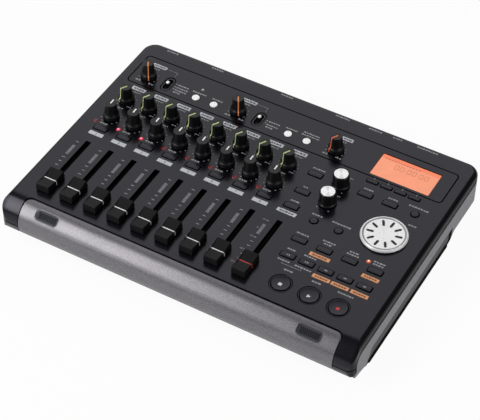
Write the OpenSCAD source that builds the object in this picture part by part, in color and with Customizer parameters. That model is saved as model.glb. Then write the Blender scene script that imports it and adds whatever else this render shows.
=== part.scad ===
// Desktop digital multitrack recorder, built as its separate pieces.
// Millimetres, X right, Y to the rear, Z up, table at Z = 0.
// Control positions are given on the panel plane, measured from the panel's own zero point.

/* [Body] */
// Width of the case
body_w = 290; // [288:1:298]
// Depth of the case from the nose of the bar to the rear wall
body_d = 209; // [208:1:213]
// Height of the case from the belly to the panel
case_h = 34.5; // [34:0.5:37]
// Thickness of the moulded walls
wall_t = 2.4; // [2:0.1:2.8]
// Rounding of the panel edge on the sides and the rear
edge_r = 4; // [3.5:0.5:5]
// Plan radius of the rear corners
rear_r = 11; // [8:0.5:14]
// Plan radius of the front corners
front_r = 6; // [5:0.5:8]
// Height of the cover's skirt below the panel
skirt = 4.8; // [4.4:0.1:5.6]
// Visible joint between cover and base
parting = 0.4; // [0.3:0.1:0.6]
// Height the rubber strips stand out below the belly
foot_h = 1; // [0.8:0.1:2]

/* [Front bar] */
// Distance from the case side to the end of the bar
bar_inset = 15.8; // [14:0.2:18]
// Radius of the rounded bar
bar_r = 16; // [15:0.5:16.5]
// Plan radius of the bar's rear corners
bar_corner = 5; // [3:0.5:7]
// Gap all round the bar
bar_gap = 0.6; // [0.4:0.1:0.9]
// Length of a microphone opening
mic_w = 18; // [14:0.5:20]
// Height of a microphone opening along the curve
mic_h = 7.6; // [6:0.2:8]

/* [Faders] */
// Travel of a fader
fader_travel = 46; // [40:1:46]
// Width of a fader cap
cap_w = 10.6; // [9:0.2:11.6]
// Length of a fader cap at its foot
cap_l = 21.4; // [18:0.2:22.4]
// Height of a fader cap's ends above the panel
cap_h = 7; // [6:0.2:9]
// Width of a fader slot
slot_w = 4.6; // [4:0.1:5]

/* [Knobs] */
// Height of the track knobs above the panel
knob_h = 14.3; // [12:0.1:16]
// Diameter of a track knob's top
knob_top = 8.6; // [7.6:0.2:9.6]
// Diameter of a track knob's skirt
knob_base = 12.8; // [11.6:0.2:13.2]
// Height of the tone knobs above the panel
tone_h = 11.8; // [10:0.2:13]
// Diameter of the tone knobs
tone_d = 12.4; // [11:0.2:13]
// Diameter of the data wheel
wheel_d = 35; // [32:0.5:36]
// Height of the data wheel above the panel
wheel_h = 2.7; // [2.6:0.1:3.6]

/* [Keys] */
// Width of an oblong key
key_w = 11.2; // [10:0.2:11.6]
// Depth of an oblong key
key_d = 5; // [4.4:0.2:5.4]
// Height of a key above the panel
key_rise = 0.7; // [0.6:0.1:1.2]
// Travel of a key
key_travel = 0.5; // [0.4:0.1:0.6]
// Gap round a key
key_gap = 0.55; // [0.45:0.05:0.65]
// Diameter of a transport key
transport_d = 14.2; // [12:0.2:14.6]
// Diameter of a small round key
round_d = 6.2; // [5.6:0.2:6.6]

/* [Display and sockets] */
// Width of the display opening
lcd_w = 48; // [46:0.5:49]
// Depth of the display opening
lcd_d = 24.4; // [23:0.2:25]
// Bore of a 6.3 mm phone socket
phone_d = 6.4; // [6.35:0.05:6.6]
// Bore of the direct-current socket
dc_d = 5.6; // [5.4:0.1:6]

/* [Hidden] */
$fn = 64;
hw = body_w / 2;
panel_z = case_h + foot_h;
belly_z = foot_h;
belly_depth = 7;
low_z = belly_z + belly_depth;
under_z = panel_z - wall_t;
board_t = 1.6;
board_z = panel_z - 13;
board_top = board_z + board_t;
// shares of the measured width and depth, by which the layout follows the case
kx = body_w / 290;
ky = body_d / 209;
rear_y = 102.6 * ky;
front_y = rear_y - body_d;
rca_reach = 7.5;
plan_shift = -(rear_y + rca_reach + front_y) / 2;
side_draft = 0.6;
recess_in = 0.6;
recess_top = panel_z - 21.1;
joint = 0.3;

// nose of the cover cheeks and of the bar share their front line
nose_r = 17.4;
nose_y = front_y + nose_r;
nose_z = panel_z - nose_r;
arch_r = nose_r - skirt;
lip_z = panel_z - 24.2;
lip_low = panel_z - 27.2;
lip_y = front_y + 4.4;
toe_z = belly_z + 2.5;
// shadow groove across the cheeks
cheek_cut = 0.9;
cheek_deep = 0.8;
cheek_end = 2.6;
bar_x = hw - bar_inset;
bar_y = front_y + bar_r;
bar_back = bar_y - 0.2;
bar_wall = 2.2;
mic_x = bar_x - 21.6;
mic_tilt = 34;
front_beam = 3.6;

// control positions
tracks = [for (i = [0:7]) (-122.6 + 20.25 * i) * kx];
master_x = 41.6 * kx;
fader_y = -71.5 * ky;
fader_mid = fader_y + fader_travel / 2;
pan_y = 10.6 * ky;
level_y = 32.2 * ky;
knob_row = 64.2 * ky;
trim_a_x = -122.5 * kx;
trim_b_x = -42 * kx;
phones_x = 42.2 * kx;
tone_x = 62.3 * kx;
tone_high_y = 33.2 * ky;
tone_low_y = 12.5 * ky;
wheel_x = 112.9 * kx;
wheel_y = 3.2 * ky;
switch_a = [-104.9 * kx, 64 * ky];
switch_b = [-24.2 * kx, 64.4 * ky];
switch_step = 2.6;
bezel_out = [8.6, 16.4];
bezel_in = [7, 14.8];
bezel_slot = [4.8, 12];
bezel_groove = 1.1;
bezel_low = 0.3;
rec_y = -4 * ky;
rec_led_dx = -8.2;
rec_led_dy = 5.6;
mixer_x = 41.4 * kx;
mixer_ys = [33.6, 13, -3.8] * ky;
function_xs = [81.2, 92.5, 103.9, 115.2] * kx;
function_w = 9;
function_d = 3.4;
function_drop = 19.6;
menu_y = 33.4 * ky;
menu_xs = [82.6, 102.6] * kx;
edit_x = 122.6 * kx;
tuner_xs = [62.5, 82.4] * kx;
tuner_y = -8.6 * ky;
locate_xs = [62.5, 82.6, 102.6, 122.8] * kx;
locate_y = -30.3 * ky;
search_xs = [62.5, 77.6, 92.7, 107.8, 122.9] * kx;
search_y = -47.3 * ky;
input_xs = [-78.2, -62.2, 2.8, 18.8] * kx;
input_y = 61.4 * ky;
input_web_y = 53 * ky;
transport_xs = [70.7, 93.3, 115.8] * kx;
transport_y = -72.8 * ky;
lamp_spots = [[-77.8 * kx, 71.5 * ky], [114.4 * kx, -24.1 * ky]];
lcd_at = [98.7 * kx, 67.2 * ky];
function_y = lcd_at[1] - function_drop;
groove_at = [-0.8 * kx, 69 * ky];
groove_size = [270.4 * kx, 34 * ky];
groove_cut = 1;
groove_deep = 1;
groove_r = 3.4;

// working clearances and shared sections
shaft_r = 3;
shaft_play = 0.35;
pot_h = 6.8;
pot_w = 11;
pot_d = 9.8;
hole_r = 4.6;
web_t = 1.2;
web_top = under_z - 0.5;
cap_gap = 0.8;
wheel_gap = 0.5;
wheel_under = 1;
lever_t = 1.4;
lever_l = 5;
slot_spare = 2.4;
slide_w = 7.4;
slide_over = 15;
slide_h = 6.6;
slide_skin = 0.8;
slide_lug_w = 5;
slide_lug_over = 22;
slide_bore_w = 5.2;
slide_bore_over = 10;
slide_bore = [1, 5.4];
slide_slit_over = 8;
slide_slit_play = 0.9;
slide_screw_over = 9.2;
slide_screw_r = 1;
lamp_r = 1.4;
pillar_r = 3;
pillars = [for (x = [-112.5, -31.5, 52], y = [-12.8, 44.5]) [x * kx, y * ky]];
boss_r = 4.5;
boss_x = 133 * kx;
boss_ys = [-76, 30, 91] * ky;
boss_z = panel_z - 16;
screw_r = 1.5;
head_r = 3;
head_h = 1.8;
strip_w = 5;
strip_x = hw - 3.4;
strip_ys = [-79, 48] * ky;
strip_seat = 0.6;

// belly outline along Y, floor ribs and the circuit board
belly_ys = [-87, -83, 51, 53.5, 56.5, 60] * ky;
recess_ys = [-85, -76.5, 54] * ky;
rib_xs = [-100, -60, -20, 20, 60, 100] * kx;
rib_ys = [-78, 46] * ky;
cross_ys = [-50, 20] * ky;
rib_t = 1.6;
rib_h = 6.5;
cross_h = 5;
cross_end = 3;
board_front = bar_back + front_beam + 2;
board_rear = 75 * ky;
board_inset = 17;
board_r = 2;
board_hole_r = 1.6;
board_holes = [for (x = [-71.9, 8.9], y = [-14, 47]) [x * kx, y * ky]];
lcd_border = [10, 6.6];
lcd_ear = [2.8, 1.2];
lcd_ear_r = 1.1;
lcd_thick = 5;
lcd_leg_ys = [-9, 4];
lcd_leg_r = 1.8;
window_t = 1;
window_lip = 3;
window_play = 0.3;
window_low = 0.5;

// rear sockets
wall_y = rear_y - wall_t;
jack_floor = low_z + wall_t;
jack_h = 19.8;
jack_z = jack_floor + jack_h / 2;
plate_top = panel_z - 4.5;
plate_x = [-(hw - 9), 116 * kx];
combo_xs = [-80, -18] * kx;
combo_r = 9.6;
combo_l = 20;
phone_w = 14;
jack_clear = 0.5;
phone_xs = [-(boss_x - boss_r - phone_w / 2 - jack_clear), 58.6 * kx];
phone_l = 19;
bush_r = 4.6;
rca_x = 30.5 * kx;
rca_pitch = 13;
rca_xs = [rca_x - rca_pitch / 2, rca_x + rca_pitch / 2];
rca_r = 4.2;
rca_neck = 0.3;
rca_stand = 0.5;
dc_x = 77 * kx;
standby_x = 102 * kx;
standby_r = 3.6;
standby_out = 1.6;

// rounded rectangle centred on the origin
module rounded(w, d, r) {
    square([w - 2 * r, d], center = true);
    square([w, d - 2 * r], center = true);
    for (sx = [-1, 1], sy = [-1, 1])
        translate([sx * (w / 2 - r), sy * (d / 2 - r)])
            circle(r);
}

// rectangle from the origin with one rounded outer upper corner
module shoulder(w, h, r) {
    square([w - r, h]);
    square([w, h - r]);
    translate([w - r, h - r])
        circle(r);
}

// extrude a Y-Z outline along X, centred
module along_x(length) {
    rotate([90, 0, 90])
        linear_extrude(length, center = true)
            children();
}

// extrude an X-Z outline along Y between two stations
module along_y(y0, y1) {
    translate([0, y1, 0])
        rotate([90, 0, 0])
            linear_extrude(y1 - y0)
                children();
}

// upright prism between two heights
module upright(z0, z1) {
    translate([0, 0, z0])
        linear_extrude(z1 - z0)
            children();
}

// plan of the case, inset by t
module plan(t) {
    fr = front_r - t;
    rr = rear_r - t;
    x = hw - t;
    y0 = front_y + t;
    y1 = rear_y - t;
    translate([-x, y0 + fr])
        square([2 * x, y1 - y0 - fr - rr]);
    translate([-x + fr, y0])
        square([2 * (x - fr), fr]);
    translate([-x + rr, y1 - rr])
        square([2 * (x - rr), rr]);
    for (s = [-1, 1]) {
        translate([s * (x - fr), y0 + fr])
            circle(fr);
        translate([s * (x - rr), y1 - rr])
            circle(rr);
    }
}

// cover blank with rounded panel edge, inset by t
module cover_form(t) {
    h = panel_z - t - lip_z;
    r = edge_r - t;
    cy = rear_y - rear_r;
    intersection() {
        union() {
            along_y(front_y, cy)
                for (s = [0, 1])
                    mirror([s, 0])
                        translate([0, lip_z])
                            shoulder(hw - t, h, r);
            along_x(body_w - 2 * rear_r)
                translate([cy, lip_z])
                    shoulder(rear_r - t, h, r);
            for (s = [0, 1])
                mirror([s, 0, 0])
                    translate([hw - rear_r, cy, lip_z])
                        rotate_extrude(angle = 90)
                            shoulder(rear_r - t, h, r);
        }
        along_x(body_w) {
            translate([nose_y, nose_z])
                circle(nose_r - t);
            translate([nose_y, lip_z])
                square([rear_y - nose_y, panel_z - t - lip_z]);
        }
        upright(lip_z, panel_z)
            plan(t);
    }
}

// Y-Z outline of the space that belongs to the base, shrunk by g
module base_zone(g) {
    y0 = nose_y - arch_r + g;
    translate([nose_y, belly_z - 1])
        square([rear_y - nose_y + 1, panel_z - skirt - g - belly_z + 1]);
    translate([nose_y, nose_z])
        circle(arch_r - g);
    translate([y0, belly_z - 1])
        square([arch_r - g, nose_z - belly_z + 1]);
}

// plan outline of the bar, grown by g
module bar_plan(g) {
    r = bar_corner + g;
    x = bar_x + g;
    y1 = bar_back + g;
    translate([-x, front_y - 1])
        square([2 * x, y1 - r - front_y + 1]);
    translate([-x + r, y1 - r])
        square([2 * (x - r), r]);
    for (s = [-1, 1])
        translate([s * (x - r), y1 - r])
            circle(r);
}

// oblong with round ends, long side along Y
module oblong(w, l) {
    square([w, l - w], center = true);
    for (s = [-1, 1])
        translate([0, s * (l / 2 - w / 2)])
            circle(w / 2);
}

// every opening in the panel
module panel_cuts() {
    z0 = under_z - 1;
    z1 = panel_z + 1;
    upright(z0, z1) {
        for (x = concat(tracks, [master_x]))
            translate([x, fader_mid])
                rounded(slot_w, fader_travel + lever_l + 2 * slot_spare, 0.8);
        for (x = tracks, y = [pan_y, level_y])
            translate([x, y])
                circle(hole_r);
        for (x = [trim_a_x, trim_b_x, phones_x])
            translate([x, knob_row])
                circle(hole_r);
        for (y = [tone_high_y, tone_low_y])
            translate([tone_x, y])
                circle(hole_r);
        translate([wheel_x, wheel_y])
            circle(hole_r);
        for (x = tracks)
            translate([x, rec_y])
                key_hole(key_w, key_d);
        for (y = mixer_ys)
            translate([mixer_x, y])
                key_hole(key_w, key_d);
        for (x = function_xs)
            translate([x, function_y])
                key_hole(function_w, function_d);
        for (x = menu_xs)
            translate([x, menu_y])
                key_hole(key_w, key_d);
        for (x = locate_xs)
            translate([x, locate_y])
                key_hole(key_w, key_d);
        for (x = search_xs)
            translate([x, search_y])
                key_hole(key_w, key_d);
        translate([edit_x, menu_y])
            circle(round_d / 2 + key_gap);
        for (x = tuner_xs)
            translate([x, tuner_y])
                circle(round_d / 2 + key_gap);
        for (x = input_xs)
            translate([x, input_y])
                circle(round_d / 2 + key_gap);
        for (x = transport_xs)
            translate([x, transport_y])
                circle(transport_d / 2 + key_gap);
        for (p = lamps())
            translate(p)
                circle(lamp_r + 0.1);
        for (p = [switch_a, switch_b])
            translate(p)
                oblong(bezel_slot[0], bezel_slot[1]);
        translate(lcd_at)
            rounded(lcd_w, lcd_d, 0.8);
    }
    // sunk bezel of each slide switch inside a deeper groove
    for (p = [switch_a, switch_b])
        translate([p[0], p[1], 0]) {
            upright(panel_z - bezel_groove, z1)
                difference() {
                    oblong(bezel_out[0], bezel_out[1]);
                    oblong(bezel_in[0], bezel_in[1]);
                }
            upright(panel_z - bezel_low, z1)
                oblong(bezel_in[0] + 0.1, bezel_in[1] + 0.1);
        }
    upright(panel_z - groove_deep, z1)
        translate(groove_at)
            difference() {
                rounded(groove_size[0], groove_size[1], groove_r);
                rounded(groove_size[0] - 2 * groove_cut, groove_size[1] - 2 * groove_cut, groove_r - groove_cut);
            }
    for (x = transport_xs)
        translate([x, transport_y, panel_z - 0.5])
            cylinder(h = 0.51, r1 = transport_d / 2 + key_gap, r2 = transport_d / 2 + key_gap + 1.1);
}

// height of the base's floor at a station
function floor_z(y) = y > belly_ys[5] ? low_z : belly_z;

function lamps() = concat([for (x = tracks) [x + rec_led_dx, rec_y + rec_led_dy]], lamp_spots);

module key_hole(w, d) {
    rounded(w + 2 * key_gap, d + 2 * key_gap, 0.8 + key_gap);
}

// groove across the front of both cheeks
module cheek_groove() {
    intersection() {
        upright(nose_z - cheek_cut, nose_z)
            difference() {
                plan(-1);
                plan(cheek_deep);
            }
        translate([-hw - 2, front_y - 2, lip_z])
            cube([body_w + 4, cheek_end + 2, nose_z]);
    }
}

module top_cover() {
    color([0.23, 0.23, 0.25]) {
        difference() {
            cover_form(0);
            along_x(body_w + 2)
                base_zone(0);
            intersection() {
                cover_form(wall_t);
                upright(lip_z - 1, panel_z) {
                    translate([-hw, bar_back + front_beam])
                        square([body_w, rear_y - bar_back - front_beam]);
                    for (s = [0, 1])
                        mirror([s, 0])
                            translate([bar_x + bar_gap + wall_t, front_y])
                                square([hw, body_d]);
                }
            }
            upright(lip_z - 1, panel_z + 1)
                bar_plan(bar_gap);
            translate([plate_x[0] - joint, wall_y - 1, lip_z])
                cube([plate_x[1] - plate_x[0] + 2 * joint, wall_t + 2, plate_top + joint - lip_z]);
            panel_cuts();
            cheek_groove();
        }
        // posts that clamp the circuit board
        for (p = pillars)
            translate([p[0], p[1], board_top])
                cylinder(h = under_z - board_top + 0.5, r = pillar_r);
        // screw bosses
        for (s = [-1, 1], y = boss_ys)
            translate([s * boss_x, y, boss_z])
                difference() {
                    cylinder(h = under_z - boss_z + 0.5, r = boss_r);
                    translate([0, 0, -1])
                        cylinder(h = 10, r = screw_r + 0.05);
                }
    }
}

// base blank: plan, side view and front view, inset by t
module base_form(t) {
    zt = panel_z;
    intersection() {
        upright(belly_z - 1, zt)
            plan(t);
        along_x(body_w)
            polygon([
                [lip_y + t, lip_z + t], [lip_y + t, lip_low + t],
                [belly_ys[0] + t, toe_z + t], [belly_ys[1] + t, belly_z + t],
                [belly_ys[2] - t, belly_z + t], [belly_ys[3] - t, belly_z + 0.7 + t],
                [belly_ys[4] - t, low_z - 1.2 + t], [belly_ys[5] - t, low_z + t],
                [rear_y - t, low_z + t], [rear_y - t, zt],
                [nose_y - arch_r + parting + t, zt], [nose_y - arch_r + parting + t, lip_z + t]
            ]);
        along_y(front_y, rear_y)
            polygon([
                [-hw + t, zt], [-hw + t, low_z + t], [-hw + side_draft + t, belly_z + t],
                [hw - side_draft - t, belly_z + t], [hw - t, low_z + t], [hw - t, zt]
            ]);
    }
}

module bottom_cover() {
    color([0.5, 0.5, 0.52]) {
        difference() {
            union() {
                intersection() {
                    difference() {
                        base_form(0);
                        base_form(wall_t);
                    }
                    along_x(body_w + 2)
                        union() {
                            base_zone(parting);
                            translate([front_y, belly_z - 1])
                                square([body_d, lip_z - belly_z + 1]);
                        }
                }
                // raised rear plate for the sockets
                translate([plate_x[0], wall_y, low_z])
                    cube([plate_x[1] - plate_x[0], wall_t, plate_top - low_z]);
                // posts under the circuit board
                for (p = pillars)
                    translate([p[0], p[1], belly_z + 1])
                        cylinder(h = board_z - belly_z - 1, r = pillar_r + 0.8);
                for (s = [-1, 1], y = boss_ys)
                    translate([s * boss_x, y, floor_z(y) + 1])
                        cylinder(h = boss_z - floor_z(y) - 1, r = boss_r);
                // floor ribs
                for (x = rib_xs)
                    translate([x - rib_t / 2, rib_ys[0], belly_z + 1])
                        cube([rib_t, rib_ys[1] - rib_ys[0], rib_h]);
                for (y = cross_ys)
                    translate([-hw + cross_end, y - rib_t / 2, belly_z + 1])
                        cube([body_w - 2 * cross_end, rib_t, cross_h]);
            }
            // shallow recess along the lower sides
            for (s = [-1, 1])
                translate([s * (hw - recess_in + hw / 2), 0, 0])
                    along_x(hw)
                        polygon([
                            [recess_ys[0], belly_z - 1], [recess_ys[1], recess_top],
                            [recess_ys[2], recess_top], [recess_ys[2], belly_z - 1]
                        ]);
            // space of the front bar
            upright(lip_z, panel_z)
                bar_plan(bar_gap + 0.2);
            for (x = combo_xs)
                socket_hole(x, combo_r + 0.2);
            for (x = phone_xs)
                socket_hole(x, bush_r + 0.2);
            for (x = rca_xs)
                socket_hole(x, rca_r + 0.3);
            socket_hole(dc_x, dc_d / 2 + 0.8);
            socket_hole(standby_x, standby_r + 0.4);
            for (s = [-1, 1], y = boss_ys)
                translate([s * boss_x, y, floor_z(y) - 1]) {
                    cylinder(h = panel_z, r = screw_r + 0.3);
                    cylinder(h = head_h + 1.4, r = head_r + 0.3);
                }
            for (s = [-1, 1])
                upright(belly_z - 1, belly_z + strip_seat)
                    translate([s * strip_x, (strip_ys[0] + strip_ys[1]) / 2])
                        hull()
                            for (out = [0, s * strip_w / 2])
                                translate([out, 0])
                                    oblong(strip_w + 0.1, strip_ys[1] - strip_ys[0] + 0.1);
        }
    }
}

// round hole through the rear wall
module socket_hole(x, r) {
    translate([x, wall_y - 1, jack_z])
        rotate([-90, 0, 0])
            cylinder(h = wall_t + 2, r = r);
}

// Y-Z outline of the bar tube, inset by t
module bar_section(t) {
    intersection() {
        translate([bar_y, nose_z])
            circle(bar_r - t);
        translate([front_y, lip_z + t])
            square([bar_back - t - front_y, bar_r * 2]);
    }
}

// place something on the sloping microphone spot of the bar
module mic_place(s) {
    translate([s * mic_x, bar_y, nose_z])
        rotate([mic_tilt, 0, 0])
            translate([0, 0, bar_r])
                children();
}

module front_bar() {
    color([0.62, 0.62, 0.63])
        difference() {
            intersection() {
                along_x(2 * bar_x)
                    bar_section(0);
                upright(lip_z, panel_z)
                    bar_plan(0);
            }
            along_x(2 * bar_x - 5)
                bar_section(bar_wall);
            for (s = [-1, 1])
                mic_place(s) {
                    upright(-6, 2)
                        rounded(mic_w, mic_h, 2.6);
                    upright(-1, 2)
                        rounded(mic_w + 1.6, mic_h + 1.6, 3.3);
                }
        }
}

module mic_grilles() {
    color([0.12, 0.12, 0.13])
        for (s = [-1, 1])
            mic_place(s)
                difference() {
                    union() {
                        upright(-2.1, -1.3)
                            rounded(mic_w - 0.2, mic_h - 0.2, 2.5);
                        upright(-4.4, -3.2)
                            difference() {
                                rounded(mic_w + 3, mic_h + 1.4, 2.6);
                                rounded(mic_w - 2, mic_h - 2, 1.8);
                            }
                        upright(-3.3, -2)
                            difference() {
                                rounded(mic_w - 0.2, mic_h - 0.2, 2.5);
                                rounded(mic_w - 2, mic_h - 2, 1.8);
                            }
                    }
                    for (i = [-5:5], j = [-1:1])
                        translate([i * 1.45, j * 1.9, -3])
                            cylinder(h = 3, r = 0.5, $fn = 16);
                    for (i = [-5:4], j = [-0.5, 0.5])
                        translate([(i + 0.5) * 1.45, j * 1.9, -3])
                            cylinder(h = 3, r = 0.5, $fn = 16);
                }
}

module display_window() {
    color([0.95, 0.55, 0.4])
        translate([lcd_at[0], lcd_at[1], 0]) {
            upright(under_z - window_t, panel_z - window_low)
                rounded(lcd_w - window_play, lcd_d - window_play, 0.7);
            upright(under_z - window_t, under_z)
                rounded(lcd_w + window_lip, lcd_d + window_lip, 1.2);
        }
}

module lcd_module() {
    top = under_z - window_t;
    color([0.2, 0.35, 0.25])
        translate([lcd_at[0], lcd_at[1], 0]) {
            upright(top - lcd_thick, top)
                difference() {
                    rounded(lcd_w + lcd_border[0], lcd_d + lcd_border[1], 1);
                    for (sx = [-1, 1], sy = [-1, 1])
                        translate([sx * (lcd_w / 2 + lcd_ear[0]), sy * (lcd_d / 2 + lcd_ear[1])])
                            circle(lcd_ear_r);
                }
            for (sx = [-1, 1], y = lcd_leg_ys)
                translate([sx * lcd_w / 2, y, board_top])
                    cylinder(h = top - lcd_thick + 0.5 - board_top, r = lcd_leg_r);
        }
}

module main_board() {
    color([0.1, 0.35, 0.2])
        upright(board_z, board_top)
            difference() {
                translate([0, (board_front + board_rear) / 2])
                    rounded(2 * (hw - board_inset), board_rear - board_front, board_r);
                for (p = board_holes)
                    translate(p)
                        circle(board_hole_r);
            }
}

module slide_pots() {
    color([0.72, 0.72, 0.7])
        for (x = concat(tracks, [master_x]))
            translate([x, fader_mid, board_top])
                difference() {
                    union() {
                        upright(0, slide_h)
                            rounded(slide_w, fader_travel + slide_over, 0.8);
                        upright(slide_h - slide_skin, slide_h)
                            rounded(slide_lug_w, fader_travel + slide_lug_over, 0.8);
                    }
                    upright(slide_bore[0], slide_bore[1])
                        rounded(slide_bore_w, fader_travel + slide_bore_over, 0.6);
                    upright(slide_bore[1] - 0.4, slide_h + 1)
                        rounded(lever_t + slide_slit_play, fader_travel + slide_slit_over, 0.6);
                    for (s = [-1, 1])
                        translate([0, s * (fader_travel / 2 + slide_screw_over), slide_h - 2 * slide_skin])
                            cylinder(h = 2 * slide_skin + 1, r = slide_screw_r);
                }
}

// one rotary control body with its threaded neck and three pins
module pot() {
    difference() {
        union() {
            upright(0, pot_h - 1)
                rounded(pot_w, pot_d, 0.8);
            cylinder(h = pot_h, r = pot_d / 2 - 0.3);
            cylinder(h = pot_h + 1.6, r = 4.1);
            for (i = [-1, 0, 1])
                translate([i * 2.5 - 0.5, -pot_d / 2 - 0.8, 0])
                    cube([1, 1.5, 2.4]);
        }
        translate([0, 0, 0.8])
            cylinder(h = pot_h + 2, r = shaft_r + shaft_play);
    }
}

module rotary_pots() {
    color([0.66, 0.66, 0.66]) {
        for (x = tracks, y = [pan_y, level_y])
            translate([x, y, board_top])
                pot();
        for (x = [trim_a_x, trim_b_x, phones_x])
            translate([x, knob_row, board_top])
                pot();
        for (y = [tone_high_y, tone_low_y])
            translate([tone_x, y, board_top])
                pot();
        translate([wheel_x, wheel_y, board_top])
            pot();
    }
}

// knob with flared skirt and pointer groove; pointer turned clockwise from the rear by a
module knob(a) {
    rt = knob_top / 2;
    rb = knob_base / 2;
    rw = rt + 0.75;
    difference() {
        union() {
            rotate_extrude()
                polygon(concat(
                    [[0, 2.6], [rb - 1.2, 2.6], [rb - 1.2, cap_gap], [rb, cap_gap], [rb, cap_gap + 0.9]],
                    [for (i = [1:6]) let (u = 90 * i / 6)
                        [rw + (rb - rw) * (1 - sin(u)), cap_gap + 0.9 + 4.6 * (1 - cos(u))]],
                    [[rt + 0.1, knob_h - 0.7], [rt - 0.6, knob_h], [0, knob_h]]
                ));
            translate([0, 0, board_top + 1.4 - panel_z])
                cylinder(h = panel_z - board_top + 2, r = shaft_r);
        }
        rotate(-a) {
            translate([-0.45, 0, knob_h - 0.35])
                cube([0.9, rb, 1]);
            translate([0, rt - 0.2, cap_gap + 1.4])
                rotate([atan2(rw - rt, knob_h - 6.3), 0, 0])
                    translate([-0.45, 0.45, 1])
                        cube([0.9, 2, knob_h]);
        }
    }
}

module knob_at(x, y, a, c) {
    color(c)
        translate([x, y, panel_z])
            knob(a);
}

module pan(i) {
    knob_at(tracks[i - 1], pan_y, 0, [0.1, 0.1, 0.11]);
}

module level(i) {
    knob_at(tracks[i - 1], level_y, -150, [0.1, 0.11, 0.1]);
}

module trim_a() {
    knob_at(trim_a_x, knob_row, 150, [0.12, 0.1, 0.09]);
}

module trim_b() {
    knob_at(trim_b_x, knob_row, 150, [0.12, 0.1, 0.09]);
}

module phones_knob() {
    knob_at(phones_x, knob_row, -150, [0.12, 0.1, 0.09]);
}

// plain round knob with a bright turned top
module tone_knob() {
    r = tone_d / 2;
    rotate_extrude()
        polygon([
            [0, 2.4], [r - 1.2, 2.4], [r - 1.2, cap_gap], [r, cap_gap], [r, tone_h - 2.4],
            [r - 0.25, tone_h - 1.3], [r - 0.9, tone_h - 0.5], [r - 1, tone_h], [0, tone_h - 0.25]
        ]);
    translate([0, 0, board_top + 1.4 - panel_z])
        cylinder(h = panel_z - board_top + 2, r = shaft_r);
}

module tone_high() {
    color([0.1, 0.1, 0.11])
        translate([tone_x, tone_high_y, panel_z])
            tone_knob();
}

module tone_low() {
    color([0.1, 0.1, 0.11])
        translate([tone_x, tone_low_y, panel_z])
            tone_knob();
}

module data_wheel() {
    r = wheel_d / 2;
    color([0.86, 0.86, 0.87])
        translate([wheel_x, wheel_y, panel_z])
            difference() {
                union() {
                    rotate_extrude()
                        polygon([
                            [0, wheel_under], [r - 2, wheel_under], [r - 2, wheel_gap],
                            [r - 0.4, wheel_gap], [r, wheel_gap + 0.5],
                            [r, wheel_h - 1], [r - 0.3, wheel_h - 0.4], [r - 0.9, wheel_h],
                            [r - 1.5, wheel_h], [r - 1.8, wheel_h - 0.45], [r - 2.4, wheel_h - 0.6],
                            [r - 2.7, wheel_h - 0.25], [0, wheel_h - 0.6]
                        ]);
                    translate([0, 0, board_top + 1.4 - panel_z])
                        cylinder(h = panel_z - board_top + wheel_under - 1, r = shaft_r);
                }
                for (i = [0:9])
                    rotate(-6.2 - 36 * i)
                        upright(wheel_h - 0.9, wheel_h + 1)
                            translate([0, 10.6])
                                oblong(1.5, 5.4);
            }
}

// fader cap with saddle top, centre line groove and metal lever
module fader(x) {
    l0 = cap_l / 2;
    dip = cap_h - 2.4;
    translate([x, fader_y, 0]) {
        difference() {
            intersection() {
                along_x(cap_w)
                    translate([0, panel_z])
                        polygon([
                            [-l0, cap_gap], [-l0 + 0.6, cap_h - 0.5], [-l0 + 1.2, cap_h],
                            [-l0 * 0.55, dip + 1.2], [-l0 * 0.2, dip + 0.3], [0, dip],
                            [l0 * 0.2, dip + 0.3], [l0 * 0.55, dip + 1.2],
                            [l0 - 1.8, cap_h], [l0 - 1.3, cap_h - 0.5], [l0, cap_gap]
                        ]);
                along_y(-cap_l, cap_l)
                    translate([0, panel_z])
                        polygon([
                            [-cap_w / 2, 0], [cap_w / 2, 0], [cap_w / 2 - 0.25, cap_h - 1],
                            [cap_w / 2 - 0.8, cap_h + 0.2], [-cap_w / 2 + 0.8, cap_h + 0.2],
                            [-cap_w / 2 + 0.25, cap_h - 1]
                        ]);
            }
            upright(panel_z - 1, panel_z + 2.6)
                difference() {
                    rounded(cap_w - 2.8, cap_l - 3, 0.6);
                    rounded(4, 7, 0.6);
                }
            translate([-cap_w, -0.45, panel_z + dip - 0.3])
                cube([2 * cap_w, 0.9, 2]);
            for (s = [-1, 1])
                translate([s * (cap_w / 2 + 0.7) - 1, -0.45, panel_z + 1.2])
                    cube([2, 0.9, cap_h]);
        }
        upright(board_top + 1.8, panel_z + 3)
            square([lever_t, lever_l], center = true);
        upright(board_top + 1.6, board_top + 4.2)
            rounded(4.2, 7, 0.6);
    }
}

module track_fader(i) {
    color([0.13, 0.13, 0.14])
        fader(tracks[i - 1]);
}

module master_fader() {
    color([0.13, 0.12, 0.12])
        fader(master_x);
}

// slide switch lever with its carrier plate under the panel
module switch_lever(p) {
    translate([p[0], p[1], 0]) {
        upright(under_z - 0.4, panel_z + 1.9)
            rounded(3, 3.4, 0.8);
        upright(panel_z - 1, panel_z + 2.6)
            rounded(2.4, 2.6, 0.7);
        upright(under_z - 1.8, under_z - 0.4)
            rounded(7, 9, 0.8);
    }
}

module switch_lever_a() {
    color([0.85, 0.85, 0.85])
        switch_lever(switch_a);
}

module switch_lever_b() {
    color([0.85, 0.85, 0.85])
        switch_lever(switch_b + [0, switch_step / 2]);
}

// oblong key cap with a softened top edge
module key_cap(w, d) {
    upright(web_top - web_t, panel_z + key_rise - 0.4)
        rounded(w, d, 0.8);
    upright(panel_z, panel_z + key_rise)
        rounded(w - 0.8, d - 0.8, 0.6);
}

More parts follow.
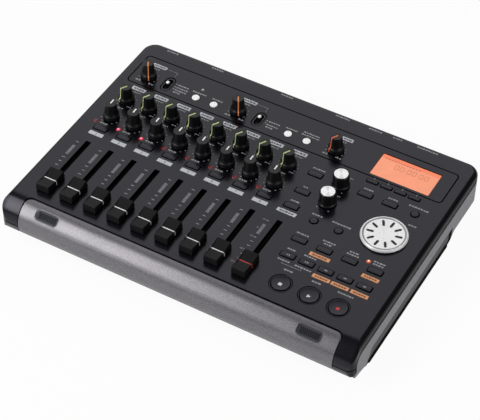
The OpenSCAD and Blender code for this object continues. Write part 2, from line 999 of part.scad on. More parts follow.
// round key cap with a softened top edge
module round_cap(r) {
    translate([0, 0, web_top - web_t])
        rotate_extrude()
            polygon([
                [0, 0], [r, 0], [r, panel_z + key_rise - 0.5 - web_top + web_t],
                [r - 0.5, panel_z + key_rise - web_top + web_t],
                [0, panel_z + key_rise + 0.1 - web_top + web_t]
            ]);
}

// flat carrier under the panel
module web(x0, y0, x1, y1) {
    translate([x0, y0, web_top - web_t])
        cube([x1 - x0, y1 - y0, web_t]);
}

module track_arm_keys() {
    color([0.18, 0.18, 0.2]) {
        for (x = tracks)
            translate([x, rec_y, 0])
                key_cap(key_w, key_d);
        web(tracks[0] - 6.6, rec_y - 3.2, tracks[7] + 6.6, rec_y + 3.2);
    }
}

module mixer_keys() {
    color([0.18, 0.18, 0.2]) {
        for (y = mixer_ys)
            translate([mixer_x, y, 0])
                key_cap(key_w, key_d);
        web(mixer_x - 6.4, mixer_ys[2] - 3.2, mixer_x + 6.4, mixer_ys[0] + 3.2);
    }
}

module display_keys() {
    color([0.18, 0.18, 0.2]) {
        for (x = function_xs)
            translate([x, function_y, 0])
                key_cap(function_w, function_d);
        for (x = menu_xs)
            translate([x, menu_y, 0])
                key_cap(key_w, key_d);
        translate([edit_x, menu_y, 0])
            round_cap(round_d / 2);
        web(function_xs[0] - 5.4, function_y - 2.4, function_xs[3] + 5.4, function_y + 2.4);
        web(menu_xs[0] - 6.4, menu_y - 3.2, edit_x + 4.4, menu_y + 3.2);
        web(menu_xs[0] + 7, menu_y, menu_xs[0] + 12, function_y);
    }
}

module tuner_keys() {
    color([0.18, 0.18, 0.2]) {
        for (x = tuner_xs)
            translate([x, tuner_y, 0])
                round_cap(round_d / 2);
        web(tuner_xs[0] - 4.4, tuner_y - 4, tuner_xs[1] + 4.4, tuner_y + 4);
    }
}

module locate_keys() {
    color([0.18, 0.18, 0.2]) {
        for (x = locate_xs)
            translate([x, locate_y, 0])
                key_cap(key_w, key_d);
        web(locate_xs[0] - 6.6, locate_y - 3.2, locate_xs[3] + 6.6, locate_y + 3.2);
    }
}

module search_keys() {
    color([0.18, 0.18, 0.2]) {
        for (x = search_xs)
            translate([x, search_y, 0])
                key_cap(key_w, key_d);
        web(search_xs[0] - 6.6, search_y - 3.2, search_xs[4] + 6.6, search_y + 3.2);
    }
}

module input_keys() {
    color([0.95, 0.95, 0.95]) {
        for (x = input_xs) {
            translate([x, input_y, 0])
                round_cap(round_d / 2);
            web(x - 2, input_web_y - 1, x + 2, input_y);
        }
        web(input_xs[0] - 3, input_web_y - 1.5, input_xs[3] + 3, input_web_y + 1.5);
    }
}

// large dished transport key with a retaining flange
module transport_key(i) {
    r = transport_d / 2;
    zt = panel_z + key_rise - web_top + web_t;
    color([0.16, 0.16, 0.18])
        translate([transport_xs[i], transport_y, web_top - web_t])
            rotate_extrude()
                polygon([
                    [0, 0], [r + 1.2, 0], [r + 1.2, web_t], [r, web_t], [r, zt - 0.3],
                    [r - 0.3, zt], [r - 1.1, zt], [r - 2.2, zt - 0.25], [r * 0.45, zt - 0.45],
                    [0, zt - 0.5]
                ]);
}

module stop_key() {
    transport_key(0);
}

module play_key() {
    transport_key(1);
}

module record_key() {
    transport_key(2);
}

module standby_key() {
    color([0.15, 0.15, 0.16])
        translate([standby_x, rear_y + standby_out, jack_z])
            rotate([90, 0, 0])
                rotate_extrude()
                    polygon([
                        [0, 0.3], [standby_r - 1, 0], [standby_r, 0.8], [standby_r, wall_t + standby_out + 2],
                        [standby_r + 1.4, wall_t + standby_out + 2], [standby_r + 1.4, wall_t + standby_out + 3.4],
                        [2, wall_t + standby_out + 3.4], [2, wall_t + standby_out + 8], [0, wall_t + standby_out + 8]
                    ]);
}

module combo_jacks() {
    color([0.14, 0.14, 0.15])
        for (x = combo_xs)
            translate([x, rear_y, jack_z])
                rotate([90, 0, 0])
                    difference() {
                        union() {
                            cylinder(h = wall_t + 1, r = combo_r);
                            upright(wall_t, wall_t + combo_l)
                                rounded(25, jack_h, 1.5);
                        }
                        difference() {
                            translate([0, 0, -1])
                                cylinder(h = 13, r = 8.3);
                            translate([0, 0, 0.8])
                                cylinder(h = 13, r = 6.9);
                        }
                        translate([0, 0, -1])
                            cylinder(h = combo_l + 1, r = phone_d / 2);
                        for (a = [90, 210, 330])
                            rotate(a)
                                translate([5.1, 0, -1])
                                    cylinder(h = 11, r = 1.2);
                        translate([-1.2, 7.4, -1])
                            cube([2.4, 2, 5]);
                    }
}

module phone_jacks() {
    color([0.2, 0.2, 0.2])
        for (x = phone_xs)
            translate([x, rear_y, jack_z])
                rotate([90, 0, 0])
                    difference() {
                        union() {
                            translate([0, 0, -2.2])
                                cylinder(h = wall_t + 3, r = bush_r);
                            translate([0, 0, -1.6])
                                cylinder(h = 1.6, r = 6.4, $fn = 6);
                            upright(wall_t, wall_t + phone_l)
                                rounded(phone_w, 12.4, 1);
                        }
                        translate([0, 0, -3])
                            cylinder(h = phone_l + 2, r = phone_d / 2);
                    }
}

module line_jacks() {
    color([0.8, 0.76, 0.6])
        translate([0, rear_y, jack_z])
            rotate([90, 0, 0])
                difference() {
                    union() {
                        for (x = rca_xs)
                            translate([x, 0, 0]) {
                                upright(-rca_reach, -rca_stand)
                                    circle(rca_r);
                                upright(-rca_stand - 0.2, wall_t + 1)
                                    circle(rca_r - rca_neck);
                            }
                        upright(wall_t, wall_t + 12)
                            translate([rca_x, 0])
                                rounded(26, 13, 1);
                    }
                    for (x = rca_xs)
                        translate([x, 0, -rca_reach - 1]) {
                            difference() {
                                cylinder(h = 8, r = rca_r - 0.5);
                                translate([0, 0, 1.8])
                                    cylinder(h = 8, r = 2.6);
                            }
                            cylinder(h = 11, r = 1.6);
                        }
                }
}

module dc_jack() {
    color([0.12, 0.12, 0.12])
        translate([dc_x, rear_y, jack_z])
            rotate([90, 0, 0])
                difference() {
                    union() {
                        translate([0, 0, 0.2])
                            cylinder(h = wall_t + 1, r = dc_d / 2 + 0.7);
                        upright(wall_t, wall_t + 13)
                            rounded(9.4, 11, 0.8);
                    }
                    difference() {
                        translate([0, 0, -1])
                            cylinder(h = 11, r = dc_d / 2);
                        translate([0, 0, 0.9])
                            cylinder(h = 12, r = 1);
                    }
                }
}

module rubber_feet() {
    color([0.06, 0.06, 0.06])
        for (s = [-1, 1])
            upright(0, belly_z + strip_seat)
                translate([s * strip_x, (strip_ys[0] + strip_ys[1]) / 2])
                    oblong(strip_w, strip_ys[1] - strip_ys[0]);
}

module case_screws() {
    color([0.3, 0.3, 0.32])
        for (s = [-1, 1], y = boss_ys)
            translate([s * boss_x, y, floor_z(y) + 0.4 + head_h])
                difference() {
                    union() {
                        translate([0, 0, -head_h])
                            cylinder(h = head_h, r = head_r);
                        cylinder(h = boss_z + 7 - floor_z(y) - 0.4 - head_h, r = screw_r);
                    }
                    for (a = [0, 90])
                        rotate(a)
                            translate([-1.8, -0.4, -head_h - 1])
                                cube([3.6, 0.8, 2]);
                }
}

module indicator_lenses() {
    color([0.7, 0.1, 0.1])
        for (p = lamps())
            translate([p[0], p[1], under_z])
                rotate_extrude()
                    polygon([
                        [0, -1], [lamp_r + 0.8, -1], [lamp_r + 0.8, 0], [lamp_r, 0], [lamp_r, wall_t + 0.1],
                        [lamp_r - 0.5, wall_t + 0.45], [0, wall_t + 0.6]
                    ]);
}

// every piece is drawn about the panel's zero point and then moved to the part's own centre
module place() {
    translate([0, plan_shift, 0])
        children();
}

place() top_cover();
place() bottom_cover();
place() front_bar();
place() mic_grilles();
place() display_window();
place() lcd_module();
place() main_board();
place() slide_pots();
place() rotary_pots();
place() combo_jacks();
place() phone_jacks();
place() line_jacks();
place() dc_jack();
place() rubber_feet();
place() case_screws();
place() indicator_lenses();
place() track_fader(1);  // fader_1
place() track_fader(2);  // fader_2
place() track_fader(3);  // fader_3
place() track_fader(4);  // fader_4
place() track_fader(5);  // fader_5
place() track_fader(6);  // fader_6
place() track_fader(7);  // fader_7
place() track_fader(8);  // fader_8
place() master_fader();
place() pan(1);  // pan_1
place() pan(2);  // pan_2
place() pan(3);  // pan_3
place() pan(4);  // pan_4
place() pan(5);  // pan_5
place() pan(6);  // pan_6
place() pan(7);  // pan_7
place() pan(8);  // pan_8
place() level(1);  // level_1
place() level(2);  // level_2
place() level(3);  // level_3
place() level(4);  // level_4
place() level(5);  // level_5
place() level(6);  // level_6
place() level(7);  // level_7
place() level(8);  // level_8
place() trim_a();
place() trim_b();
place() phones_knob();
place() tone_high();
place() tone_low();
place() data_wheel();
place() switch_lever_a();
place() switch_lever_b();
place() stop_key();
place() play_key();
place() record_key();
place() track_arm_keys();
place() display_keys();
place() input_keys();
place() mixer_keys();
place() tuner_keys();
place() locate_keys();
place() search_keys();
place() standby_key();
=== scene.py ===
"""Looks of a desktop multitrack recorder, dressed round its packed construction.

Shapes are worked out in millimetres about a control's own axis at panel height, and are
moved to metres in the part's frame when they are placed.
"""

import math

import bpy
import numpy as np
from mathutils import Matrix, Vector


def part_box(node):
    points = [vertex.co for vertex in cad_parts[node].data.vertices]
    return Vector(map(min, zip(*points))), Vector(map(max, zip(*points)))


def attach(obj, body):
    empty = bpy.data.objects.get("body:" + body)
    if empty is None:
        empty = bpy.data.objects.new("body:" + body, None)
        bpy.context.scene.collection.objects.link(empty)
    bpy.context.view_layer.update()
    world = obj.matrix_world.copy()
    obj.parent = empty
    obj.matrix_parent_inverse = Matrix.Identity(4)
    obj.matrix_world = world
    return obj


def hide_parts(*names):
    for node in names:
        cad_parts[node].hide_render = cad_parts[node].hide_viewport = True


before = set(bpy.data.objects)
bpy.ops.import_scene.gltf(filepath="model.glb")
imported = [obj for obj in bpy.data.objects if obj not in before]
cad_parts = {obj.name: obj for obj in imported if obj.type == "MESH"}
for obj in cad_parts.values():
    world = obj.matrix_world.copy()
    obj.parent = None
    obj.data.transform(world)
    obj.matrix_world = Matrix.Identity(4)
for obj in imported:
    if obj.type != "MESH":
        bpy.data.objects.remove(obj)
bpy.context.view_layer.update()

bl_info = {
    "name": "Multitrack Recorder Looks",
    "version": (1, 0, 0),
    "blender": (4, 5, 0),
    "location": "View3D > Sidebar > Recorder",
    "description": "Finishes, markings and soft-edged controls of a desktop multitrack recorder",
    "category": "Object",
}

MM = 0.001
PANEL_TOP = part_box("top_cover")[1].z
CASE_BODY = "case"
FADERS = [f"fader_{n}" for n in range(1, 9)] + ["master_fader"]
PANS = [f"pan_{n}" for n in range(1, 9)]
LEVELS = [f"level_{n}" for n in range(1, 9)]


def centre_mm(node):
    """Plan centre of a construction node, in millimetres."""
    low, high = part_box(node)
    return np.array([(low.x + high.x) / 2, (low.y + high.y) / 2]) / MM


TRACKS = [centre_mm(node)[0] for node in PANS]
MASTER_X = centre_mm("master_fader")[0]
# keys, lamps and printed markings are measured from the panel's own zero point
PAN_ROW = 10.6
LEVEL_ROW = 32.2
ZERO_Y = centre_mm("pan_1")[1] - PAN_ROW


# colours

def srgb(red, green, blue):
    """Linear colour of a screen colour given from 0 to 255."""
    parts = np.array([red, green, blue]) / 255.0
    linear = np.where(parts <= 0.04045, parts / 12.92, ((parts + 0.055) / 1.055) ** 2.4)
    return tuple(float(part) for part in linear)


def shade(colour, factor):
    """Colour made lighter or darker by a factor."""
    return tuple(min(1.0, part * factor) for part in colour)


def length_property(label, words, millimetres):
    return bpy.props.FloatProperty(
        name=label, description=words, default=millimetres * MM, unit="LENGTH", precision=5
    )


def colour_property(label, words, red, green, blue):
    return bpy.props.FloatVectorProperty(
        name=label, description=words, default=srgb(red, green, blue), size=3, min=0.0, max=1.0,
        subtype="COLOR",
    )


def power_property(label, words, watts):
    return bpy.props.FloatProperty(name=label, description=words, default=watts, min=0.0, subtype="POWER")


class RecorderSizes(bpy.types.PropertyGroup):
    """Sizes of the visible finishing details."""

    key_edge: length_property("Key edge", "Rounding of a key's top edge", 0.55)
    key_crown: length_property("Key crown", "Swelling of a key's top", 0.08)
    fader_edge: length_property("Fader edge", "Rounding of a fader cap's edges", 0.45)
    knob_edge: length_property("Knob edge", "Rounding of a knob's top edge", 0.15)
    pointer_width: length_property("Pointer width", "Width of the lines on knobs", 0.95)
    fader_line: length_property("Fader line", "Width of the lines on fader caps", 0.75)
    ink_height: length_property("Ink height", "Height of the printed markings", 0.03)


class RecorderColours(bpy.types.PropertyGroup):
    """Colours of the finishes."""

    cover: colour_property("Cover", "Dark moulded panel", 10, 9, 14)
    base: colour_property("Base", "Grey moulded base", 117, 116, 121)
    side_band: colour_property("Side band", "Dark grey recess along the lower sides", 44, 44, 47)
    # also the colour of the painted contact shadow low in the side recess
    belly: colour_property("Belly", "Black underside", 15, 15, 16)
    bar: colour_property("Bar", "Silver-grey paint of the front bar", 120, 118, 122)
    control: colour_property("Control", "Black knobs and faders", 16, 16, 18)
    key: colour_property("Key", "Dark grey keys", 14, 13, 18)
    ink: colour_property("Ink", "Pale printed markings", 196, 199, 204)
    legend: colour_property("Legend", "Small grey printed markings", 150, 150, 154)
    orange_ink: colour_property("Orange ink", "Orange printed bars", 226, 158, 108)
    level_line: colour_property("Level line", "Green pointer", 214, 224, 168)
    trim_line: colour_property("Trim line", "Orange pointer", 244, 156, 98)
    phones_line: colour_property("Phones line", "Orange-red pointer", 240, 128, 88)
    master_line: colour_property("Master line", "Red line of the master fader", 196, 52, 56)
    display: colour_property("Display", "Lit display", 248, 152, 112)
    silver: colour_property("Silver", "Turned metal and the data wheel", 236, 236, 237)
    white: colour_property("White", "White keys and levers", 250, 250, 250)


class RecorderStage(bpy.types.PropertyGroup):
    """Light levels of the studio."""

    rear_light: power_property("Rear light", "Wide soft light behind, mirrored in the panel", 16.5)
    top_light: power_property("Top light", "Long soft light above the front, mirrored in the bar", 8.2)
    side_light: power_property("Side light", "Soft light from the right", 7.0)
    front_light: power_property("Front light", "Weak soft light from the front left", 3.2)
    ambient: bpy.props.FloatProperty(
        name="Ambient", description="Strength of the even light all round", default=0.17, min=0.0
    )


# surfaces as whole arrays

class Surface:
    """Points with quads and triangles between them, as whole arrays; surfaces add up with +."""

    def __init__(self, points, quads=None, triangles=None):
        self.points = np.asarray(points, float).reshape(-1, 3)
        self.quads = np.asarray(quads if quads is not None else [], int).reshape(-1, 4)
        self.triangles = np.asarray(triangles if triangles is not None else [], int).reshape(-1, 3)

    def __add__(self, other):
        shift = len(self.points)
        return Surface(
            np.vstack([self.points, other.points]),
            np.vstack([self.quads, other.quads + shift]),
            np.vstack([self.triangles, other.triangles + shift]),
        )

    def moved(self, x=0.0, y=0.0, z=0.0):
        return Surface(self.points + np.array([x, y, z]), self.quads, self.triangles)

    def on_panel(self, x, y, z=0.0):
        """Move to a place on the panel, measured from its own zero point."""
        return self.moved(x, y + ZERO_Y, z)

    def turned(self, degrees):
        """Turn about the upright axis, counterclockwise seen from above."""
        angle = math.radians(degrees)
        spin = np.array([
            [math.cos(angle), math.sin(angle), 0.0],
            [-math.sin(angle), math.cos(angle), 0.0],
            [0.0, 0.0, 1.0],
        ])
        return Surface(self.points @ spin, self.quads, self.triangles)


def gathered(surfaces):
    """Sum of several surfaces."""
    surfaces = list(surfaces)
    total = surfaces[0]
    for surface in surfaces[1:]:
        total = total + surface
    return total


def grid_quads(rows, columns):
    """Corner numbers of the quads of a grid whose last column meets its first."""
    row, column = np.meshgrid(np.arange(rows - 1), np.arange(columns), indexing="ij")
    after = (column + 1) % columns
    corners = [row * columns + column, row * columns + after,
               (row + 1) * columns + after, (row + 1) * columns + column]
    return np.stack(corners, axis=-1).reshape(-1, 4)


def stack(rings):
    """Closed surface through rings of equal count, each counterclockwise about the way they rise.

    Point (i, j) is point j of ring i. The first and last rings are closed by fans to their centres.
    """
    rings = np.asarray(rings, float)
    rows, columns = rings.shape[:2]
    ends = np.array([rings[0].mean(axis=0), rings[-1].mean(axis=0)])
    count = rows * columns
    here = np.arange(columns)
    after = (here + 1) % columns
    low = np.stack([np.full(columns, count), after, here], axis=-1)
    top = count - columns
    high = np.stack([np.full(columns, count + 1), here + top, after + top], axis=-1)
    points = np.vstack([rings.reshape(-1, 3), ends])
    return Surface(points, grid_quads(rows, columns), np.vstack([low, high]))


def arc(centre, radius, start, end, steps=6):
    """Points of a circular arc between two angles in degrees."""
    angles = np.radians(np.linspace(start, end, steps + 1))
    return np.stack([centre[0] + radius * np.cos(angles), centre[1] + radius * np.sin(angles)], axis=-1)


def revolved(profile, steps):
    """Rings of points: point (i, j) is profile point i, a radius and a height, turned to angle j."""
    profile = np.asarray(profile, float)
    angles = np.linspace(0.0, 2.0 * math.pi, steps, endpoint=False)
    x = profile[:, :1] * np.cos(angles)
    y = profile[:, :1] * np.sin(angles)
    z = np.repeat(profile[:, 1:], steps, axis=1)
    return np.stack([x, y, z], axis=-1)


def lathe(profile, steps=64):
    """Solid of revolution about the upright axis, closed at both ends of its profile."""
    return stack(revolved(profile, steps))


def lathe_ring(radii, heights, steps=72):
    """Flat ring: a rectangle between two radii and two heights carried round the upright axis."""
    (inner, outer), (low, high) = radii, heights
    rings = revolved([(inner, low), (outer, low), (outer, high), (inner, high), (inner, low)], steps)
    return Surface(rings, grid_quads(len(rings), steps))


def rounded_outline(width, depth, radius, steps=6):
    """Counterclockwise rounded rectangle: a quarter circle at each corner."""
    quarter = np.linspace(0.0, math.pi / 2, steps + 1)
    angles = np.concatenate([quarter + k * math.pi / 2 for k in range(4)])
    side_x = np.repeat([1.0, -1.0, -1.0, 1.0], steps + 1)
    side_y = np.repeat([1.0, 1.0, -1.0, -1.0], steps + 1)
    x = side_x * (width / 2 - radius) + radius * np.cos(angles)
    y = side_y * (depth / 2 - radius) + radius * np.sin(angles)
    return np.stack([x, y], axis=-1)


def block(width, depth, radius, levels, steps=6):
    """Rounded block whose outline shrinks by an inset at each height: levels are (inset, height) pairs."""
    least = 0.02
    rings = [
        np.column_stack([
            rounded_outline(width - 2 * inset, depth - 2 * inset, max(radius - inset, least), steps),
            np.full(4 * (steps + 1), height),
        ])
        for inset, height in levels
    ]
    return stack(rings)


def slab(width, depth, radius, low, high, steps=6):
    """Upright rounded block between two heights."""
    return block(width, depth, radius, [(0.0, low), (0.0, high)], steps)


def soft_levels(foot, top, edge, crown, reach):
    """Heights of a block with a quarter-round top edge and a gently swelling top."""
    angles = np.radians(np.linspace(0.0, 90.0, 6))
    rim = [(edge * (1 - math.cos(a)), top - crown - edge * (1 - math.sin(a))) for a in angles]
    shares = np.linspace(0.0, 0.92, 5)[1:]
    rise = [(edge + (reach - edge) * s, top - crown * (1 - s) ** 2) for s in shares]
    return [(0.0, foot)] + rim + rise


LINE_SUNK = 0.2


def drawn_line(profile, width, proud):
    """Strip along a profile of distances to the rear and heights: a rectangle carried square to it.

    The rectangle reaches from LINE_SUNK below the profile to proud above it, along its left-hand
    normals, which come from its central differences.
    """
    profile = np.asarray(profile, float)
    along = np.gradient(profile, axis=0)
    along /= np.linalg.norm(along, axis=1, keepdims=True)
    normals = np.stack([-along[:, 1], along[:, 0]], axis=-1)
    corners = [(-0.5, proud), (-0.5, -LINE_SUNK), (0.5, -LINE_SUNK), (0.5, proud)]
    rings = [
        np.column_stack([np.full(len(profile), width * across), profile + normals * rise])
        for across, rise in corners
    ]
    return stack(np.stack(rings, axis=1))


# pieces

CREASE = math.radians(32.0)


def make_piece(name, surface, body, material, hides=(), bevel=0.0):
    """Put a surface in millimetres into the scene as a piece that rides on a body."""
    points = surface.points * MM
    points[:, 2] += PANEL_TOP
    mesh = bpy.data.meshes.new(name)
    mesh.from_pydata(points.tolist(), [], surface.quads.tolist() + surface.triangles.tolist())
    mesh.validate()
    mesh.materials.append(material)
    mesh.polygons.foreach_set("use_smooth", np.ones(len(mesh.polygons), bool))
    piece = bpy.data.objects.new(name, mesh)
    bpy.context.scene.collection.objects.link(piece)
    if bevel:
        rounding = piece.modifiers.new("Rounding", "BEVEL")
        rounding.width = bevel
        rounding.segments = 3
        rounding.limit_method = "ANGLE"
        rounding.angle_limit = CREASE
        rounding.harden_normals = True
    else:
        mesh.set_sharp_from_angle(angle=CREASE)
    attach(piece, body)
    if hides:
        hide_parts(*hides)


def dress(node, material):
    """Give every face of a construction node one finish."""
    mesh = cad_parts[node].data
    mesh.materials.clear()
    mesh.materials.append(material)
    mesh.polygons.foreach_set("material_index", np.zeros(len(mesh.polygons), np.int32))


# shader values

def plug(tree, socket, value):
    """Link a wire to a socket, or set the socket's own value."""
    if isinstance(value, Wire):
        tree.links.new(value.socket, socket)
    elif socket.type == "RGBA":
        socket.default_value = (*value[:3], 1.0)
    else:
        socket.default_value = value


class Wire:
    """One output of a shader tree; arithmetic on it adds Math nodes."""

    def __init__(self, tree, socket):
        self.tree = tree
        self.socket = socket

    def node(self, kind, settings=None, inputs=None, output=0):
        """Add a node of a type, apply its settings, then fill or link its sockets."""
        made = self.tree.nodes.new(kind)
        for key, value in (settings or {}).items():
            setattr(made, key, value)
        for key, value in (inputs or {}).items():
            plug(self.tree, made.inputs[key], value)
        return Wire(self.tree, made.outputs[output])

    def math(self, operation, first, second):
        return self.node("ShaderNodeMath", {"operation": operation}, {0: first, 1: second})

    def __add__(self, other):
        return self.math("ADD", self, other)

    __radd__ = __add__

    def __sub__(self, other):
        return self.math("SUBTRACT", self, other)

    def __rsub__(self, other):
        return self.math("SUBTRACT", other, self)

    def __mul__(self, other):
        return self.math("MULTIPLY", self, other)

    __rmul__ = __mul__

    def __pow__(self, other):
        return self.math("POWER", self, other)

    def sine(self):
        return self.math("SINE", self, 0.0)

    def size(self):
        """The value without its sign."""
        return self.math("ABSOLUTE", self, 0.0)

    def step(self, low, high):
        """0 below low, 1 above high, straight between."""
        return self.node("ShaderNodeMapRange", {"clamp": True},
                         {"Value": self, "From Min": low, "From Max": high})

    def over(self, level):
        """0 below a level, 1 above it, with a soft edge."""
        return self.step(level - SOFT, level + SOFT)

    def under(self, level):
        """1 below a level, 0 above it, with a soft edge."""
        return 1.0 - self.over(level)

    def between(self, low, high):
        """Colour that runs from low to high as this value runs from 0 to 1."""
        return self.node("ShaderNodeMix", {"data_type": "RGBA"}, {0: self, 6: low, 7: high}, output=2)

    def axis(self, letter):
        """One coordinate of a vector."""
        return self.node("ShaderNodeSeparateXYZ", {}, {0: self}, output="XYZ".index(letter))

    def noise(self, size, detail=2.0):
        """Cloudy value from 0 to 1 whose lumps are about size across."""
        return self.node("ShaderNodeTexNoise", {}, {"Vector": self, "Scale": 1.0 / size, "Detail": detail})

    def relief(self, height):
        """Bumped normal in which this value stands up to height."""
        return self.node("ShaderNodeBump", {}, {"Strength": 1.0, "Distance": height, "Height": self})


class Finish:
    """A material being made: its shader and the wire of object coordinates."""

    def __init__(self, name):
        self.material = bpy.data.materials.new(name)
        self.material.use_nodes = True
        self.tree = self.material.node_tree
        self.shader = self.tree.nodes["Principled BSDF"]
        coordinates = self.tree.nodes.new("ShaderNodeTexCoord")
        self.place = Wire(self.tree, coordinates.outputs["Object"])

    def set(self, **inputs):
        """Fill the shader's sockets; underscores stand for the spaces in their names."""
        for key, value in inputs.items():
            plug(self.tree, self.shader.inputs[key.replace("_", " ")], value)
        return self.material

    def darken(self, mask):
        """Blend the shader towards a black that mirrors nothing, as far as the mask says: painted shade and
        painted shadow, and the base's dark seam and margin.
        """
        black = mask.node("ShaderNodeBsdfDiffuse", {}, {"Color": SHADE_AND_SEAM_BLACK})
        lit = Wire(self.tree, self.shader.outputs[0])
        blend = mask.node("ShaderNodeMixShader", {}, {0: mask, 1: lit, 2: black})
        plug(self.tree, self.tree.nodes["Material Output"].inputs["Surface"], blend)
        return self.material

    def done(self, painted_shade):
        """The material, with painted shade from a mask maker's mask if there is one."""
        return self.darken(painted_shade(self.place)) if painted_shade else self.material


# black of the painted shade and shadow, and of the base's seam
SHADE_AND_SEAM_BLACK = srgb(4, 4, 5)
SOFT = 0.1 * MM
# the panel's sheen, a little violet
SHEEN = {"Specular_IOR_Level": 0.353, "Specular_Tint": (0.9, 0.875, 1.0)}


def moulded(name, colour, roughness, grain=0.35, depth=0.012, painted_shade=None, **sockets):
    """Moulded plastic: fine grain in relief, with faint clouds in its colour and gloss.

    painted_shade makes a mask of painted shade from the object coordinates; sockets are even shader values.
    """
    finish = Finish(name)
    clouds = finish.place.noise(28 * MM)
    grain_wire = finish.place.noise(grain * MM)
    smudge = finish.place.noise(6 * MM, 4.0)
    tone = clouds * 0.6 + grain_wire * 0.4
    finish.set(
        Base_Color=tone.between(shade(colour, 0.84), shade(colour, 1.16)),
        Roughness=roughness - 0.05 + smudge * 0.1,
        Normal=grain_wire.relief(depth * MM),
        **{"Specular_IOR_Level": 0.3, **sockets},
    )
    return finish.done(painted_shade)


def shade_below_panel(height):
    """Mask maker of painted shade on what lies lower than a height over the panel, such as the sides of
    keys and the walls round them.
    """
    level = PANEL_TOP + height * MM
    return lambda place: place.axis("Z").under(level)


# the cover's painted shade: black in its openings and grooves below the panel and in the cheeks' groove,
# darker along its rounded side edges
PANEL_HALF = 140.5 * MM
PANEL_ENDS = (-90.8 * MM, 96.5 * MM)
PANEL_SKIN = (0.04 * MM, 0.22 * MM)
BEZELS = ((-104.9 * MM, 62.15 * MM), (-24.2 * MM, 62.55 * MM))
BEZEL_HALF = (3.6 * MM, 7.5 * MM)
BEZEL_LOW = 0.3 * MM
CHEEK_GROOVE = (17.2 * MM, 18.1 * MM)
CHEEK_FRONT = -103.0 * MM
SIDE_EDGE_SHADE = (141.0 * MM, 143.5 * MM)
EDGE_DARK = 0.5


def panel_shade_mask(place):
    """Mask of painted shade in the panel's openings and grooves and in the cheeks' groove, and darker along
    the rounded side edges as painted shade.
    """
    across = place.axis("X")
    along = place.axis("Y")
    height = place.axis("Z")
    for x, y in BEZELS:
        bezel = (across - x).size().under(BEZEL_HALF[0]) * (along - y).size().under(BEZEL_HALF[1])
        height = height + bezel * BEZEL_LOW
    inside = across.size().under(PANEL_HALF) * along.over(PANEL_ENDS[0]) * along.under(PANEL_ENDS[1])
    sunk = 1.0 - height.step(PANEL_TOP - PANEL_SKIN[1], PANEL_TOP - PANEL_SKIN[0])
    groove = (height.over(CHEEK_GROOVE[0]) - height.over(CHEEK_GROOVE[1])) * along.under(CHEEK_FRONT)
    edges = across.size().step(*SIDE_EDGE_SHADE) * EDGE_DARK
    return (inside * sunk + groove + edges).step(0.0, 1.0)


BAR_AXIS = (-92.25 * MM, 18.1 * MM)
BAR_R = 16.0 * MM
# painted shade darker towards the bar's lower edge, a painted shadow line at its lip, and painted shade in
# the grille pockets
BAR_LOWER_SHADE = (11.3 * MM, 24.0 * MM)
BAR_LIP = (12.2 * MM, 12.6 * MM)
POCKET_LEDGE = 1.1 * MM
LEDGE_DARK = 0.5
LOWER_SHADE_DARK = 0.1
LIP_DARK = 0.4


def bar_shade_mask(place):
    """Mask of painted shade in the grille pockets, which lie inside the bar's round, darker towards the
    bar's lower edge, with a painted shadow line at its lip.
    """
    forward = place.axis("Y") - BAR_AXIS[0]
    height = place.axis("Z")
    upward = height - BAR_AXIS[1]
    reach = (forward * forward + upward * upward) ** 0.5
    ledge = reach.under(BAR_R - 3 * SOFT) * LEDGE_DARK
    floor = 1.0 - reach.step(BAR_R - POCKET_LEDGE - SOFT, BAR_R - POCKET_LEDGE)
    lower_shade = (1.0 - height.step(*BAR_LOWER_SHADE)) * LOWER_SHADE_DARK
    lip = (1.0 - height.step(*BAR_LIP)) * LIP_DARK
    return (ledge + floor * (1.0 - LEDGE_DARK) + lower_shade + lip).step(0.0, 1.0)


RECESS_TOP = 14.4 * MM
RECESS_FRONT = (-86.9 * MM, -78.4 * MM)
NOTCH_AT = 47.5 * MM
RECESS_REAR = 52.1 * MM
# the recess is black below this height, partly strip and partly painted contact shadow, and painted shade
# from the notch to its rear end
RECESS_BLACK = 5.0 * MM
BELLY_TOP = 7.9 * MM
BELLY_HALF = 144.2 * MM
SEAM_CENTRE = (-93.5 * MM, 18.6 * MM)
SEAM_ARCH = 8.0 * MM
SEAM_LINE = 0.9 * MM
SEAM_FOOT = 12.0 * MM
MARGIN_DARK = 0.6
SEAM_DARK = 0.3
BELLY_DARK = 0.85


def seam_margin(along, height):
    """Masks of the margin above the base's seam, which arches down at the front, and of the seam."""
    ahead = along.math("MAXIMUM", SEAM_CENTRE[0] - along, 0.0)
    above = along.math("MAXIMUM", height - SEAM_CENTRE[1], 0.0)
    reach = (ahead * ahead + above * above) ** 0.5
    margin = reach.over(SEAM_ARCH) * height.over(SEAM_FOOT)
    return margin, margin * reach.under(SEAM_ARCH + SEAM_LINE)


